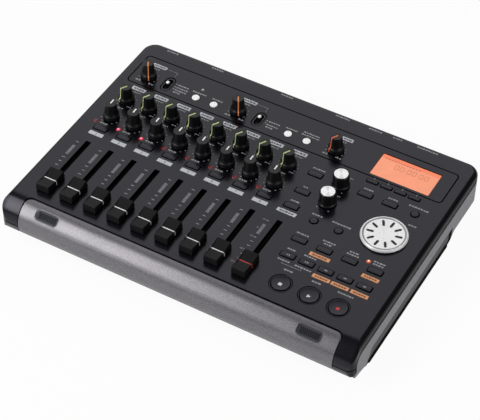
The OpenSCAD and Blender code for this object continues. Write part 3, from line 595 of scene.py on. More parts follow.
def base_plastic(colours):
    """Grey moulded plastic with a dark upper margin, a dark band in the side recess and a black belly; the
    black low in the recess is partly strip and partly painted contact shadow, and its rear notch is painted
    shade.
    """
    finish = Finish("base_moulding")
    clouds = finish.place.noise(30 * MM)
    grain = finish.place.noise(0.4 * MM)
    along = finish.place.axis("Y")
    height = finish.place.axis("Z")
    front, lean = RECESS_FRONT[0], (RECESS_FRONT[1] - RECESS_FRONT[0]) / RECESS_TOP
    recess = (along - height * lean).over(front) * along.under(RECESS_REAR) * height.under(RECESS_TOP)
    belly = height.under(BELLY_TOP) * finish.place.axis("X").size().under(BELLY_HALF)
    # black in the recess: partly strip and partly painted contact shadow low down, and painted shade in the
    # rear notch
    black = recess * (height.under(RECESS_BLACK) + along.over(NOTCH_AT)) + (1.0 - recess) * belly
    grey = clouds.between(shade(colours.base, 0.92), shade(colours.base, 1.08))
    margin, line = seam_margin(along, height)
    banded = margin.between(recess.between(grey, colours.side_band), colours.cover)
    finish.set(
        Base_Color=black.step(0.0, 1.0).between(banded, colours.belly),
        Roughness=0.5 + recess * 0.1 + clouds * 0.06,
        Normal=grain.relief(0.012 * MM),
    )
    dark = margin * MARGIN_DARK + line * SEAM_DARK + black * BELLY_DARK
    return finish.darken(dark.step(0.0, 1.0))


def metallic_paint(name, colour, painted_shade=None):
    """Silver-grey paint: fine bright flakes under a satin lacquer, with a mask maker for painted shade."""
    finish = Finish(name)
    flakes = finish.place.noise(0.5 * MM, 1.0)
    clouds = finish.place.noise(18 * MM)
    sparkle = flakes.step(0.36, 0.66)
    finish.set(
        Base_Color=sparkle.between(shade(colour, 0.7), shade(colour, 1.3)),
        Metallic=0.7,
        Roughness=0.32 + clouds * 0.08,
        Normal=flakes.relief(0.006 * MM),
    )
    return finish.done(painted_shade)


def ink(name, colour, roughness=0.5):
    """Screen-printed ink: slightly uneven cover with a fine tooth."""
    finish = Finish(name)
    tooth = finish.place.noise(0.3 * MM)
    return finish.set(
        Base_Color=tooth.between(shade(colour, 0.88), shade(colour, 1.08)),
        Roughness=roughness + tooth * 0.1,
        Normal=tooth.relief(0.004 * MM),
    )


# turn of the two darker fans of painted reflection
PAINTED_FAN_TURN = math.radians(150.3)
RING_PITCH = 0.3 * MM
RING_HEIGHT = 0.0008 * MM
# darkness of the painted shade in the groove between the wheel's dial and rim
GROOVE_SHADE = 0.42


def turned_metal(name, colour, centre, metallic, painted_fan, groove=None):
    """Spun metal: fine rings in relief about an upright axis, two darker fans of painted reflection and
    perhaps a ring of painted shade for a groove.
    """
    finish = Finish(name)
    offset = finish.place.node(
        "ShaderNodeVectorMath", {"operation": "SUBTRACT"}, {0: finish.place, 1: (*centre, 0.0)}
    )
    across = offset.axis("X")
    along = offset.axis("Y")
    radius = (across * across + along * along) ** 0.5
    rings = (radius * (2 * math.pi / RING_PITCH)).sine()
    # two darker fans about the axis: painted reflection of the spun rings
    lobe = (along.math("ARCTAN2", along, across) + PAINTED_FAN_TURN).sine()
    painted_fans = (lobe * lobe) ** 6.0
    clouds = finish.place.noise(3 * MM)
    tone = (painted_fans * 0.85 + clouds * 0.15).between(colour, shade(colour, 1.0 - painted_fan))
    if groove:
        inner, outer = (edge * MM for edge in groove)
        sunk = radius.over(inner) - radius.over(outer)
        tone = sunk.between(tone, shade(colour, GROOVE_SHADE))
    return finish.set(
        Base_Color=tone,
        Metallic=metallic,
        Roughness=0.24 + clouds * 0.08,
        Normal=(rings * 0.5 + 0.5).relief(RING_HEIGHT),
    )


def lens_finish(name, core, ring, glow, rise):
    """Lamp lens: a coloured ring round a core that begins a rise up the dome, both glowing."""
    finish = Finish(name)
    clouds = finish.place.noise(1.2 * MM)
    core_z = PANEL_TOP + rise * MM
    inner = finish.place.axis("Z").step(core_z - 0.03 * MM, core_z + 0.03 * MM)
    colour = (inner * 0.9 + clouds * 0.1).between(ring, core)
    return finish.set(Base_Color=colour, Roughness=0.2, Emission_Color=colour, Emission_Strength=glow)


def circuit_board(name):
    """Green board with a fine pattern of paler copper lines under the lacquer."""
    finish = Finish(name)
    lines = finish.place.noise(2.5 * MM, 3.0).step(0.55, 0.6)
    return finish.set(
        Base_Color=lines.between(srgb(24, 82, 46), srgb(58, 122, 66)),
        Roughness=0.4 - lines * 0.1,
        Normal=lines.relief(0.02 * MM),
    )


# stage

CAMERA_PLACE = Vector((0.4412, -0.78025, 0.9359))
CAMERA_RIGHT = Vector((0.86724, 0.49789, 0.00196))
CAMERA_FORWARD = Vector((-0.34409, 0.60218, -0.72041))
CAMERA_LENS = 129.78
CAMERA_SENSOR = 36.0
FLOOR_HALF = 12.0
FLOOR_WHITE = 0.94
# place, target and sides of each light, whose power is the setting of the same name
LIGHTS = (
    ("rear_light", (-0.95, 1.45, 1.42), (0.0, 0.0, 0.0), (2.2, 2.0)),
    ("top_light", (-0.56, -0.745, 0.755), (0.0, -0.1, 0.0), (0.33, 1.3)),
    ("side_light", (1.3, -0.1, 0.55), (0.1, 0.0, 0.0), (0.9, 1.2)),
    ("front_light", (-1.0, -0.8, 0.6), (0.0, -0.1, 0.0), (0.8, 0.8)),
)


def add_light(name, place, target, sides, power):
    """Soft rectangular light at a place, facing a target, its first side level with the part's width."""
    data = bpy.data.lights.new(name, "AREA")
    data.shape = "RECTANGLE"
    data.size, data.size_y = sides
    data.energy = power
    light = bpy.data.objects.new(name, data)
    facing = (Vector(target) - Vector(place)).normalized()
    side = (Vector((1.0, 0.0, 0.0)) - facing * facing.x).normalized()
    turn = Matrix((side, side.cross(facing), -facing)).transposed()
    light.matrix_world = Matrix.Translation(place) @ turn.to_4x4()
    bpy.context.scene.collection.objects.link(light)


def seen_white(tree, shader, share):
    """Blend a shader towards plain white where it is seen, straight, mirrored or through clear things."""
    path = tree.nodes.new("ShaderNodeLightPath")
    camera = Wire(tree, path.outputs["Is Camera Ray"])
    mirrored = Wire(tree, path.outputs["Is Glossy Ray"])
    clear = Wire(tree, path.outputs["Is Transmission Ray"])
    seen = (camera + mirrored + clear) * share
    glow = camera.node("ShaderNodeEmission", {}, {"Color": (1.0, 1.0, 1.0), "Strength": 1.0})
    return camera.node("ShaderNodeMixShader", {}, {0: seen, 1: Wire(tree, shader), 2: glow})


class RECORDER_OT_stage(bpy.types.Operator):
    """Lay the pale floor, hang the soft lights and set up the camera"""

    bl_idname = "recorder.stage"
    bl_label = "Stage"

    def execute(self, context):
        levels = context.scene.recorder_stage
        self.floor()
        for name, place, target, sides in LIGHTS:
            add_light(name, place, target, sides, getattr(levels, name))
        self.world(context.scene, levels.ambient)
        self.camera(context.scene)
        context.scene.view_settings.view_transform = "Standard"
        return {"FINISHED"}

    def floor(self):
        half = FLOOR_HALF
        mesh = bpy.data.meshes.new("floor")
        corners = [(-half, -half, 0), (half, -half, 0), (half, half, 0), (-half, half, 0)]
        mesh.from_pydata(corners, [], [(0, 1, 2, 3)])
        finish = Finish("pale_floor")
        clouds = finish.place.noise(0.4)
        finish.set(Base_Color=clouds.between((0.84, 0.84, 0.84), (0.88, 0.88, 0.88)), Roughness=0.9)
        output = finish.tree.nodes["Material Output"]
        shown = seen_white(finish.tree, finish.shader.outputs[0], FLOOR_WHITE)
        plug(finish.tree, output.inputs["Surface"], shown)
        mesh.materials.append(finish.material)
        floor = bpy.data.objects.new("floor", mesh)
        bpy.context.scene.collection.objects.link(floor)

    def world(self, scene, strength):
        scene.world = bpy.data.worlds.new("studio")
        scene.world.use_nodes = True
        background = scene.world.node_tree.nodes["Background"]
        background.inputs["Color"].default_value = (1.0, 1.0, 1.0, 1.0)
        background.inputs["Strength"].default_value = strength

    def camera(self, scene):
        data = bpy.data.cameras.new("camera")
        data.lens = CAMERA_LENS
        data.sensor_width = CAMERA_SENSOR
        camera = bpy.data.objects.new("camera", data)
        up = CAMERA_RIGHT.cross(CAMERA_FORWARD)
        turn = Matrix((CAMERA_RIGHT, up, -CAMERA_FORWARD)).transposed()
        camera.matrix_world = Matrix.Translation(CAMERA_PLACE) @ turn.to_4x4()
        scene.collection.objects.link(camera)
        scene.camera = camera


# case

FOOT_WIDTH = 5.75
FOOT_X = 142.05
FOOT_RISE = 1.56
FOOT_CORNER = 0.7


class RECORDER_OT_case(bpy.types.Operator):
    """Finish the covers, the front bar, the grilles and the feet"""

    bl_idname = "recorder.case"
    bl_label = "Case"

    def execute(self, context):
        colours = context.scene.recorder_colours
        dress("top_cover", moulded("cover_moulding", colours.cover, 0.22, painted_shade=panel_shade_mask, **SHEEN))
        dress("bottom_cover", base_plastic(colours))
        dress("front_bar", metallic_paint("bar_paint", colours.bar, bar_shade_mask))
        dress("mic_grilles", moulded("grille_paint", srgb(50, 51, 56), 0.5, 0.25, 0.01))
        self.feet()
        dress("case_screws", moulded("screw_steel", srgb(70, 70, 74), 0.4, 0.3, 0.01))
        return {"FINISHED"}

    def feet(self):
        """Rubber strips in the belly's lower edges, reaching out almost to the sides."""
        low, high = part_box("rubber_feet")
        length = (high.y - low.y) / MM
        floor = -PANEL_TOP / MM
        strip = slab(FOOT_WIDTH, length, FOOT_CORNER, floor, floor + FOOT_RISE)
        y = (high.y + low.y) / 2 / MM
        rubber = moulded("foot_rubber", srgb(10, 10, 11), 0.8, 0.6, 0.03)
        strips = strip.moved(FOOT_X, y) + strip.moved(-FOOT_X, y)
        make_piece("foot_strips", strips, CASE_BODY, rubber, ("rubber_feet",))


class RECORDER_OT_inside(bpy.types.Operator):
    """Finish the pieces inside the case and the rear sockets"""

    bl_idname = "recorder.inside"
    bl_label = "Inside and Sockets"

    def execute(self, context):
        board = circuit_board("board_lacquer")
        tin = moulded("control_tin", srgb(120, 120, 122), 0.4, 0.5, 0.01)
        socket = moulded("socket_plastic", srgb(24, 24, 25), 0.35, 0.4, 0.01)
        dress("main_board", board)
        dress("lcd_module", board)
        dress("slide_pots", moulded("slide_plastic", srgb(12, 12, 13), 0.6, 0.4, 0.01))
        dress("rotary_pots", tin)
        for node in ("combo_jacks", "phone_jacks", "dc_jack", "standby_key"):
            dress(node, socket)
        dress("line_jacks", metallic_paint("socket_plating", srgb(206, 188, 140)))
        return {"FINISHED"}


# knobs

KNOB_HEIGHT = 14.3
KNOB_TOP_R = 4.4
KNOB_SKIRT_R = 6.4
KNOB_WAIST_R = 4.9
KNOB_WALL = 1.2
KNOB_GAP = 0.8
FOOT_EDGE = 0.2
SKIRT_TOP = 3.9
SHOULDER_R = 0.35
FLARE_TOP = 7.6
SHAFT_R = 3.0
SHAFT_CORE = 0.6
SHAFT_FOOT = -10.0
HOLLOW_TOP = 2.6
DISH_R = 3.0
DISH_DEPTH = 0.08
POINTER_BEND = 3.4
LINE_PROUD = 0.08
EDGE_SHADE_PROUD = 0.04
# widths as shares of the pointer's width
PLAIN_SHARE = 1.1
# a line with painted shade along its edges is narrower and lies over a wider darker strip
SHADED_LINE_SHARE = 0.75
EDGE_SHADE_SHARE = 1.5


def hollow_curve(start, end):
    """Quarter ellipse that leaves its start flat and reaches its end upright, without the start itself."""
    turn = np.radians(np.linspace(0.0, 90.0, 13))[1:]
    return np.stack([
        end[0] + (start[0] - end[0]) * (1 - np.sin(turn)),
        start[1] + (end[1] - start[1]) * (1 - np.cos(turn)),
    ], axis=-1)


def knob_foot(inner, outer, hollow):
    """Profile from a shaft's foot through the hollow under a knob to the knob's lower edge."""
    return [
        (SHAFT_CORE, SHAFT_FOOT), (SHAFT_R, SHAFT_FOOT), (SHAFT_R, hollow), (inner, hollow),
        (inner, KNOB_GAP), (outer - FOOT_EDGE, KNOB_GAP), (outer, KNOB_GAP + FOOT_EDGE),
    ]


def knob_side(edge):
    """Outer line of a flared knob from its rim to the edge of its top.

    An upright skirt ends in a round shoulder, from which a quarter ellipse runs in to the waist; the top
    edge is a quarter circle.
    """
    shoulder = arc((KNOB_SKIRT_R - SHOULDER_R, SKIRT_TOP), SHOULDER_R, 0.0, 60.0, 4)
    flare = hollow_curve(shoulder[-1], (KNOB_WAIST_R, FLARE_TOP))
    rim = arc((KNOB_TOP_R - edge, KNOB_HEIGHT - edge), edge, 0.0, 90.0)
    return np.vstack([[(KNOB_SKIRT_R, KNOB_GAP + 0.5)], shoulder, flare, rim])


def knob_top(radii):
    """Profile points of a knob's top, which is hollow as a parabola inside the dish's radius."""
    return [(r, KNOB_HEIGHT - DISH_DEPTH * max(0.0, 1 - (r / DISH_R) ** 2)) for r in radii]


def knob_shape(edge):
    """Flared knob on its shaft, from the shaft's foot to a shallow dish in its top."""
    foot = knob_foot(KNOB_SKIRT_R - KNOB_WALL, KNOB_SKIRT_R, HOLLOW_TOP)
    return lathe(np.vstack([foot, knob_side(edge), knob_top((DISH_R, 2.2, 1.2, 0.3))]))


def knob_pointer(edge, width, inner, low, proud):
    """Line from near a knob's middle over its edge and down its side, pointing to the rear."""
    side = knob_side(edge)[::-1]
    top = knob_top(np.linspace(inner, POINTER_BEND, 8))
    return drawn_line(np.vstack([top, side[side[:, 1] >= low]]), width, proud)


class RECORDER_OT_knobs(bpy.types.Operator):
    """Build the flared knobs with their pointer lines"""

    bl_idname = "recorder.knobs"
    bl_label = "Knobs"

    def execute(self, context):
        colours = context.scene.recorder_colours
        sizes = context.scene.recorder_sizes
        edge = sizes.knob_edge / MM
        width = sizes.pointer_width / MM
        black = moulded("knob_moulding", colours.control, 0.34, 0.3, 0.006)
        shape = knob_shape(edge)
        # nodes, line, painted edge shade, turn, and where the line starts on the top and ends down the side
        rows = [
            (PANS, srgb(252, 252, 252), None, 0.0, 0.0, KNOB_HEIGHT - 0.8),
            (LEVELS, colours.level_line, srgb(88, 122, 46), 150.0, -1.2, 1.2),
            (("trim_a", "trim_b"), colours.trim_line, srgb(118, 38, 14), -150.0, -1.2, 1.2),
            (("phones_knob",), colours.phones_line, srgb(150, 42, 16), 150.0, -1.2, 1.2),
        ]
        for nodes, colour, edge_shade, turn, inner, low in rows:
            for node in nodes:
                knob = shape.moved(*centre_mm(node))
                make_piece(node + "_knob", knob, node, black, (node,))
            strips = [("_line", colour, SHADED_LINE_SHARE if edge_shade else PLAIN_SHARE, inner, LINE_PROUD)]
            # a wider darker strip under the line: painted shade along its edges
            if edge_shade:
                strips.append(("_border", edge_shade, EDGE_SHADE_SHARE, inner - 0.1, EDGE_SHADE_PROUD))
            for ending, tint, share, start, proud in strips:
                strip = knob_pointer(edge, width * share, start, low, proud).turned(turn)
                paint = ink(nodes[0] + ending + "_ink", tint)
                for node in nodes:
                    make_piece(node + ending, strip.moved(*centre_mm(node)), node, paint)
        return {"FINISHED"}


TONE_R = 6.15
TONE_HEIGHT = 11.8
TONE_HOLLOW = 2.4
TONE_RIM = 0.9
TONE_RIM_Z = 10.7
# radius and drop below the knob's top
TONE_SEAT = ((5.2, 0.25), (1.0, 0.4))
TONE_DISC = ((0.4, 0.6), (5.2, 0.5), (5.3, 0.2), (5.18, 0.0), (4.9, 0.0), (0.4, 0.05))
COLLAR_R = 7.1
COLLAR_TOP = 1.4
COLLAR_END = 3.2


def below_tone_top(points):
    """Profile through points given as a radius and a drop below a tone knob's top."""
    return [(radius, TONE_HEIGHT - drop) for radius, drop in points]


class RECORDER_OT_tone_knobs(bpy.types.Operator):
    """Build the straight tone knobs with their turned tops"""

    bl_idname = "recorder.tone_knobs"
    bl_label = "Tone Knobs"

    def execute(self, context):
        colours = context.scene.recorder_colours
        black = moulded("tone_moulding", colours.control, 0.3, 0.3, 0.006)
        body = lathe(np.vstack([
            knob_foot(TONE_R - KNOB_WALL, COLLAR_R, TONE_HOLLOW),
            [(COLLAR_R, COLLAR_TOP)],
            hollow_curve((COLLAR_R, COLLAR_TOP), (TONE_R, COLLAR_END)),
            arc((TONE_R - TONE_RIM, TONE_RIM_Z), TONE_RIM, 0.0, 90.0),
            below_tone_top(TONE_SEAT),
        ]))
        top = lathe(below_tone_top(TONE_DISC))
        for node in ("tone_high", "tone_low"):
            x, y = centre_mm(node)
            make_piece(node + "_knob", body.moved(x, y), node, black, (node,))
            metal = turned_metal(node + "_metal", shade(colours.silver, 1.1), (x * MM, y * MM), 0.3, 0.3)
            make_piece(node + "_top", top.moved(x, y), node, metal)
        return {"FINISHED"}


# radii of the painted shade in the groove between the dial and the rim
WHEEL_GROOVE = (14.7, 16.0)
STRIP_SIZE = (1.9, 5.6, 0.9)
STRIP_HEIGHTS = (1.74, 2.46)
STRIP_OUT = 10.6
STRIP_COUNT = 10
STRIP_TURN = 6.2


class RECORDER_OT_data_wheel(bpy.types.Operator):
    """Finish the data wheel and lay the dark strips in its finger grooves"""

    bl_idname = "recorder.data_wheel"
    bl_label = "Data Wheel"

    def execute(self, context):
        colours = context.scene.recorder_colours
        x, y = centre_mm("data_wheel")
        centre = (x * MM, y * MM)
        dress("data_wheel", turned_metal("wheel_metal", colours.silver, centre, 0.25, 0.05, WHEEL_GROOVE))
        strip = slab(*STRIP_SIZE, *STRIP_HEIGHTS).moved(0.0, STRIP_OUT)
        strips = gathered(strip.turned(-STRIP_TURN - 360.0 / STRIP_COUNT * i) for i in range(STRIP_COUNT))
        # black strips lying in the finger grooves
        dark = ink("groove_paint", srgb(4, 4, 4))
        make_piece("data_wheel_strips", strips.moved(x, y), "data_wheel", dark)
        return {"FINISHED"}


# faders

CAP_WIDTH = 11.2
CAP_HALF = 10.7
CAP_HEIGHT = 7.0
CAP_DIP = 4.6
CAP_GAP = 0.8
CAP_LEAN = 0.04
CAP_SHOULDER = 6.5
CAP_SHOULDERS = (10.15, 9.55)
CAP_ENDS = (9.7, 9.1)
CAP_LINE_LOW = 1.2
CAP_LINE_BEND = 0.25
CAP_LINE_PROUD = 0.05
LEVER_FOOT = -9.8
LEVER_TOP = 1.8
CARRIAGE_TOP = -7.2
# width, depth and corner
BLADE_SIZE = (1.4, 5.0, 0.2)
CARRIAGE_SIZE = (4.2, 7.0, 0.6)


def cap_outline():
    """Side view of a fader cap, front to rear over its top: the saddle rises as |y| to the power 1.3."""
    front, rear = CAP_ENDS
    along = np.linspace(-front, rear, 27)
    reach = np.where(along < 0, front, rear)
    top = CAP_DIP + (CAP_HEIGHT - CAP_DIP) * (np.abs(along) / reach) ** 1.3
    return np.vstack([
        [(-CAP_HALF, CAP_GAP), (-CAP_SHOULDERS[0], CAP_SHOULDER)],
        np.stack([along, top], axis=-1),
        [(CAP_SHOULDERS[1], CAP_SHOULDER), (CAP_HALF, CAP_GAP)],
    ])


def cap_shape():
    """Fader cap: its side view carried across, leaning in towards the top."""
    outline = cap_outline()
    half = CAP_WIDTH / 2 - CAP_LEAN * outline[:, 1]
    right = np.stack([half, outline[:, 0], outline[:, 1]], axis=-1)
    left = right * np.array([-1.0, 1.0, 1.0])
    return stack(np.stack([right, left], axis=0))


def cap_line(width):
    """Line across a cap at its lowest point and a little way down both sides."""
    bend = CAP_LINE_BEND
    half = CAP_WIDTH / 2 - CAP_LEAN * CAP_DIP
    foot = CAP_WIDTH / 2 - CAP_LEAN * CAP_LINE_LOW
    right = np.vstack([arc((half - bend, CAP_DIP - bend), bend, 90.0, 0.0), [(foot, CAP_LINE_LOW)]])
    left = right[::-1] * np.array([-1.0, 1.0])
    return drawn_line(np.vstack([left, right]), width, CAP_LINE_PROUD).turned(-90.0)


class RECORDER_OT_faders(bpy.types.Operator):
    """Build the saddle-shaped fader caps, their lines and levers"""

    bl_idname = "recorder.faders"
    bl_label = "Faders"

    def execute(self, context):
        colours = context.scene.recorder_colours
        sizes = context.scene.recorder_sizes
        tone = shade(colours.control, 0.6)
        black = moulded("fader_moulding", tone, 0.5, 0.4, 0.012, Specular_IOR_Level=0.2)
        steel = moulded("lever_steel", srgb(130, 130, 132), 0.35, 0.3, 0.006)
        white = ink("fader_line_ink", srgb(240, 240, 240))
        red = ink("master_line_ink", colours.master_line)
        cap = cap_shape()
        line = cap_line(sizes.fader_line / MM)
        blade = slab(*BLADE_SIZE, LEVER_FOOT, LEVER_TOP)
        lever = blade + slab(*CARRIAGE_SIZE, LEVER_FOOT, CARRIAGE_TOP)
        for node in FADERS:
            x, y = centre_mm(node)
            make_piece(node + "_cap", cap.moved(x, y), node, black, (node,),
                       bevel=sizes.fader_edge)
            make_piece(node + "_line", line.moved(x, y), node, red if node == "master_fader" else white)
            make_piece(node + "_lever", lever.moved(x, y), node, steel)
        return {"FINISHED"}


# keys

KEY_RISE = 0.7
CARRIER_LOW = -4.1
CARRIER_HIGH = -2.9
KEY_SIZE = (11.2, 5.0)
FUNCTION_SIZE = (9.0, 3.4)
ROUND_KEY = (6.2, 6.2)
KEY_CORNER = 0.8
LOCATE_XS = (62.5, 82.6, 102.6, 122.8)
LOCATE_Y = -30.3
SEARCH_XS = (62.5, 77.6, 92.7, 107.8, 122.9)
SEARCH_Y = -47.3
FUNCTION_XS = (81.2, 92.5, 103.9, 115.2)
FUNCTION_Y = 47.6
MENU_XS = (82.6, 102.6)
MENU_Y = 33.4
EDIT_X = 122.6
TUNER_XS = (62.5, 82.4)
TUNER_Y = -8.6
MIXER_X = 41.4
MIXER_YS = (33.6, 13.0, -3.8)
ARM_Y = -4.0
INPUT_XS = (-78.2, -62.2, 2.8, 18.8)
INPUT_Y = 61.4
INPUT_RAIL_Y = 53.0
TRANSPORT_XS = (70.7, 93.3, 115.8)
TRANSPORT_Y = -72.8
TRANSPORT_R = 6.8
TRANSPORT_RISE = 0.4
TRANSPORT_DISH = -0.1
TRANSPORT_RIM = 0.3
TRANSPORT_FLANGE_R = TRANSPORT_R + 1.2
TRANSPORT_CORES = (0.6, 0.3)
DISH_POWER = 2.2


def plate_round(caps, half_w, half_d):
    """Carrier plate that reaches half_w and half_d beyond the middles of a row's outer caps."""
    middles = np.array([(x, y) for _, x, y in caps])
    reach = np.array([half_w, half_d])
    return (*(middles.min(axis=0) - reach), *(middles.max(axis=0) + reach))


def key_groups():
    """Each key strip's caps as (size, x, y) and carrier plates as (x0, y0, x1, y1), on the panel."""
    half_w, half_d = 6.6, 3.2
    arm = [(KEY_SIZE, x, ARM_Y) for x in TRACKS]
    mixer = [(KEY_SIZE, MIXER_X, y) for y in MIXER_YS]
    function = [(FUNCTION_SIZE, x, FUNCTION_Y) for x in FUNCTION_XS]
    menu = [(KEY_SIZE, x, MENU_Y) for x in MENU_XS] + [(ROUND_KEY, EDIT_X, MENU_Y)]
    menu_plate = (MENU_XS[0] - 6.4, MENU_Y - half_d, EDIT_X + 4.4, MENU_Y + half_d)
    bridge = (MENU_XS[0] + 7.0, MENU_Y, MENU_XS[0] + 12.0, FUNCTION_Y)
    tuner = [(ROUND_KEY, x, TUNER_Y) for x in TUNER_XS]
    locate = [(KEY_SIZE, x, LOCATE_Y) for x in LOCATE_XS]
    search = [(KEY_SIZE, x, SEARCH_Y) for x in SEARCH_XS]
    feed = [(ROUND_KEY, x, INPUT_Y) for x in INPUT_XS]
    rail = (INPUT_XS[0] - 3, INPUT_RAIL_Y - 1.5, INPUT_XS[-1] + 3, INPUT_RAIL_Y + 1.5)
    tongues = [(x - 2, INPUT_RAIL_Y, x + 2, INPUT_Y) for x in INPUT_XS]
    return {
        "track_arm_keys": (arm, [plate_round(arm, half_w, half_d)]),
        "mixer_keys": (mixer, [plate_round(mixer, 6.4, half_d)]),
        "display_keys": (function + menu, [plate_round(function, 5.4, 2.4), menu_plate, bridge]),
        "tuner_keys": (tuner, [plate_round(tuner, 4.4, 4.0)]),
        "locate_keys": (locate, [plate_round(locate, half_w, half_d)]),
        "search_keys": (search, [plate_round(search, half_w, half_d)]),
        "input_keys": (feed, [rail] + tongues),
    }


def key_cap(size, sizes):
    """Key cap with a quarter-round edge and a swelling top."""
    width, depth = size
    radius = width / 2 if width == depth else KEY_CORNER
    levels = soft_levels(CARRIER_LOW, KEY_RISE, sizes.key_edge / MM, sizes.key_crown / MM, depth / 2)
    return block(width, depth, radius, levels, 12 if width == depth else 5)


def carrier(x0, y0, x1, y1):
    """Flat plate under the panel between two corners."""
    plate = slab(x1 - x0, y1 - y0, 0.4, CARRIER_LOW, CARRIER_HIGH, 3)
    return plate.on_panel((x0 + x1) / 2, (y0 + y1) / 2)


def transport_shape():
    """Large round key: flange, upright side, raised rim and a top dished as a power of its radius."""
    low_core, top_core = TRANSPORT_CORES
    edge = TRANSPORT_RIM
    rim = arc((TRANSPORT_R - edge, TRANSPORT_RISE - edge), edge, 0.0, 110.0)
    fall = np.linspace(0.0, 1.0, 9)[1:]
    start_r, start_z = rim[-1]
    dish = np.stack([
        start_r * (1 - fall) + top_core * fall,
        start_z + (TRANSPORT_DISH - start_z) * (1 - (1 - fall) ** DISH_POWER),
    ], axis=-1)
    flange = [
        (low_core, CARRIER_LOW), (TRANSPORT_FLANGE_R, CARRIER_LOW),
        (TRANSPORT_FLANGE_R, CARRIER_HIGH), (TRANSPORT_R, CARRIER_HIGH),
    ]
    return lathe(np.vstack([flange, rim, dish]), 72)


RING_RS = (7.5, 8.05)
RING_ZS = (-0.6, -0.3)
TRANSPORT_KEYS = ("stop_key", "play_key", "record_key")
ICON_DROP = -0.9
ICON_HEIGHTS = (TRANSPORT_DISH - 0.16, TRANSPORT_DISH + 0.1)
DOT_R = 1.35
MARK_HEIGHTS = (KEY_RISE - 0.3, KEY_RISE + 0.03)
MARK_STEP = 0.8
SQUARE_SIZE = (2.5, 2.5, 0.15)
TRIANGLE_SIZE = (2.9, 3.0)
ARROW_SIZE = (1.5, 1.6)
STROKE_SIZE = (2.2, 0.9)
# width, depth and corner of a switch lever's parts
POST_SIZE = (3.0, 3.4, 0.8)
TIP_SIZE = (2.4, 2.7, 0.8)
PLATE_SIZE = (7.0, 9.0, 0.8)
POST_LEVELS = ((0.0, -3.0), (0.0, 1.5), (0.3, 1.8))
PLATE_HEIGHTS = (-4.2, -2.8)


class RECORDER_OT_keys(bpy.types.Operator):
    """Build the small keys, the transport keys and the switch levers"""

    bl_idname = "recorder.keys"
    bl_label = "Keys and Switches"

    def execute(self, context):
        colours = context.scene.recorder_colours
        sizes = context.scene.recorder_sizes
        # keys blackened below a height over the panel: painted shade on their sides and on the walls round
        # them
        dark = moulded("key_moulding", colours.key, 0.26, 0.3, 0.008, shade_below_panel(0.5), **SHEEN)
        wide = moulded("transport_moulding", colours.key, 0.26, 0.3, 0.008, shade_below_panel(-0.2), **SHEEN)
        # white keys and lever tips glow faintly though they are no lamps: painted light
        white = moulded("white_moulding", colours.white, 0.3, 0.3, 0.004, shade_below_panel(-0.05),
                        Emission_Color=colours.white, Emission_Strength=0.15)
        for node, (caps, plates) in key_groups().items():
            surface = gathered(
                [key_cap(size, sizes).on_panel(x, y) for size, x, y in caps]
                + [carrier(*plate) for plate in plates]
            )
            paint = white if node == "input_keys" else dark
            slot = "white_plastic" if node == "input_keys" else "control_plastic"
            make_piece(node + "_strip", surface, node, paint, (node,))
        shape = transport_shape()
        for node, x in zip(TRANSPORT_KEYS, TRANSPORT_XS):
            cap = shape.on_panel(x, TRANSPORT_Y)
            make_piece(node + "_cap", cap, node, wide, (node,))
        ring = lathe_ring(RING_RS, RING_ZS)
        rings = gathered(ring.on_panel(x, TRANSPORT_Y) for x in TRANSPORT_XS)
        make_piece("transport_rings", rings, CASE_BODY, moulded("ring_moulding", colours.key, 0.3, **SHEEN))
        self.icons()
        self.levers(white)
        return {"FINISHED"}

    def icons(self):
        """Generic square, triangle and dot on the transport keys; arrows and bars on the search keys."""
        low, high = ICON_HEIGHTS
        pale = ink("icon_ink", srgb(214, 214, 214))
        red = ink("record_ink", srgb(206, 50, 56))
        square = slab(*SQUARE_SIZE, low, high, 2)
        triangle = arrow(*TRIANGLE_SIZE, low, high)
        dot = lathe([(0.3, low), (DOT_R, low), (DOT_R, high), (0.3, high)], 32)
        icons = zip(TRANSPORT_KEYS, TRANSPORT_XS, (square, triangle, dot), (pale, pale, red))
        for node, x, shape, paint in icons:
            make_piece(node + "_icon", shape.on_panel(x, TRANSPORT_Y + ICON_DROP), node, paint)
        small = arrow(*ARROW_SIZE, *MARK_HEIGHTS)
        ahead = small.moved(-MARK_STEP) + small.moved(MARK_STEP)
        shapes = [ahead.turned(180.0), ahead] + [bar(*STROKE_SIZE, *MARK_HEIGHTS)] * 3
        marks = gathered(shape.on_panel(x, SEARCH_Y) for shape, x in zip(shapes, SEARCH_XS))
        make_piece("search_key_icons", marks, "search_keys", ink("key_mark_ink", srgb(150, 150, 156)))

    def levers(self, white):
        """Switch levers: a black post with a soft white tip on a plate under the panel."""
        post = block(*POST_SIZE, POST_LEVELS)
        tip = block(*TIP_SIZE, soft_levels(foot=1.6, top=2.6, edge=0.6, crown=0.1, reach=1.2))
        plate = slab(*PLATE_SIZE, *PLATE_HEIGHTS, 4)
        black = moulded("lever_moulding", srgb(16, 16, 17), 0.4, 0.3, 0.006)
        for node in ("switch_lever_a", "switch_lever_b"):
            x, y = centre_mm(node)
            make_piece(node + "_post", (post + plate).moved(x, y), node, black)
            make_piece(node + "_tip", tip.moved(x, y), node, white, (node,))


def arrow(length, height, low, high):
    """Flat triangle pointing right."""
    corners = np.array([(-length / 2, -height / 2), (length / 2, 0.0), (-length / 2, height / 2)])
    return stack([np.column_stack([corners, np.full(3, z)]) for z in (low, high)])


CORNER_ROOM = 2.1


def bar(width, depth, low, high, radius=0.2):
    """Flat bar with rounded corners, held to a little under half of its narrow side."""
    return slab(width, depth, min(radius, width / CORNER_ROOM, depth / CORNER_ROOM), low, high, 2)


# display and lamps

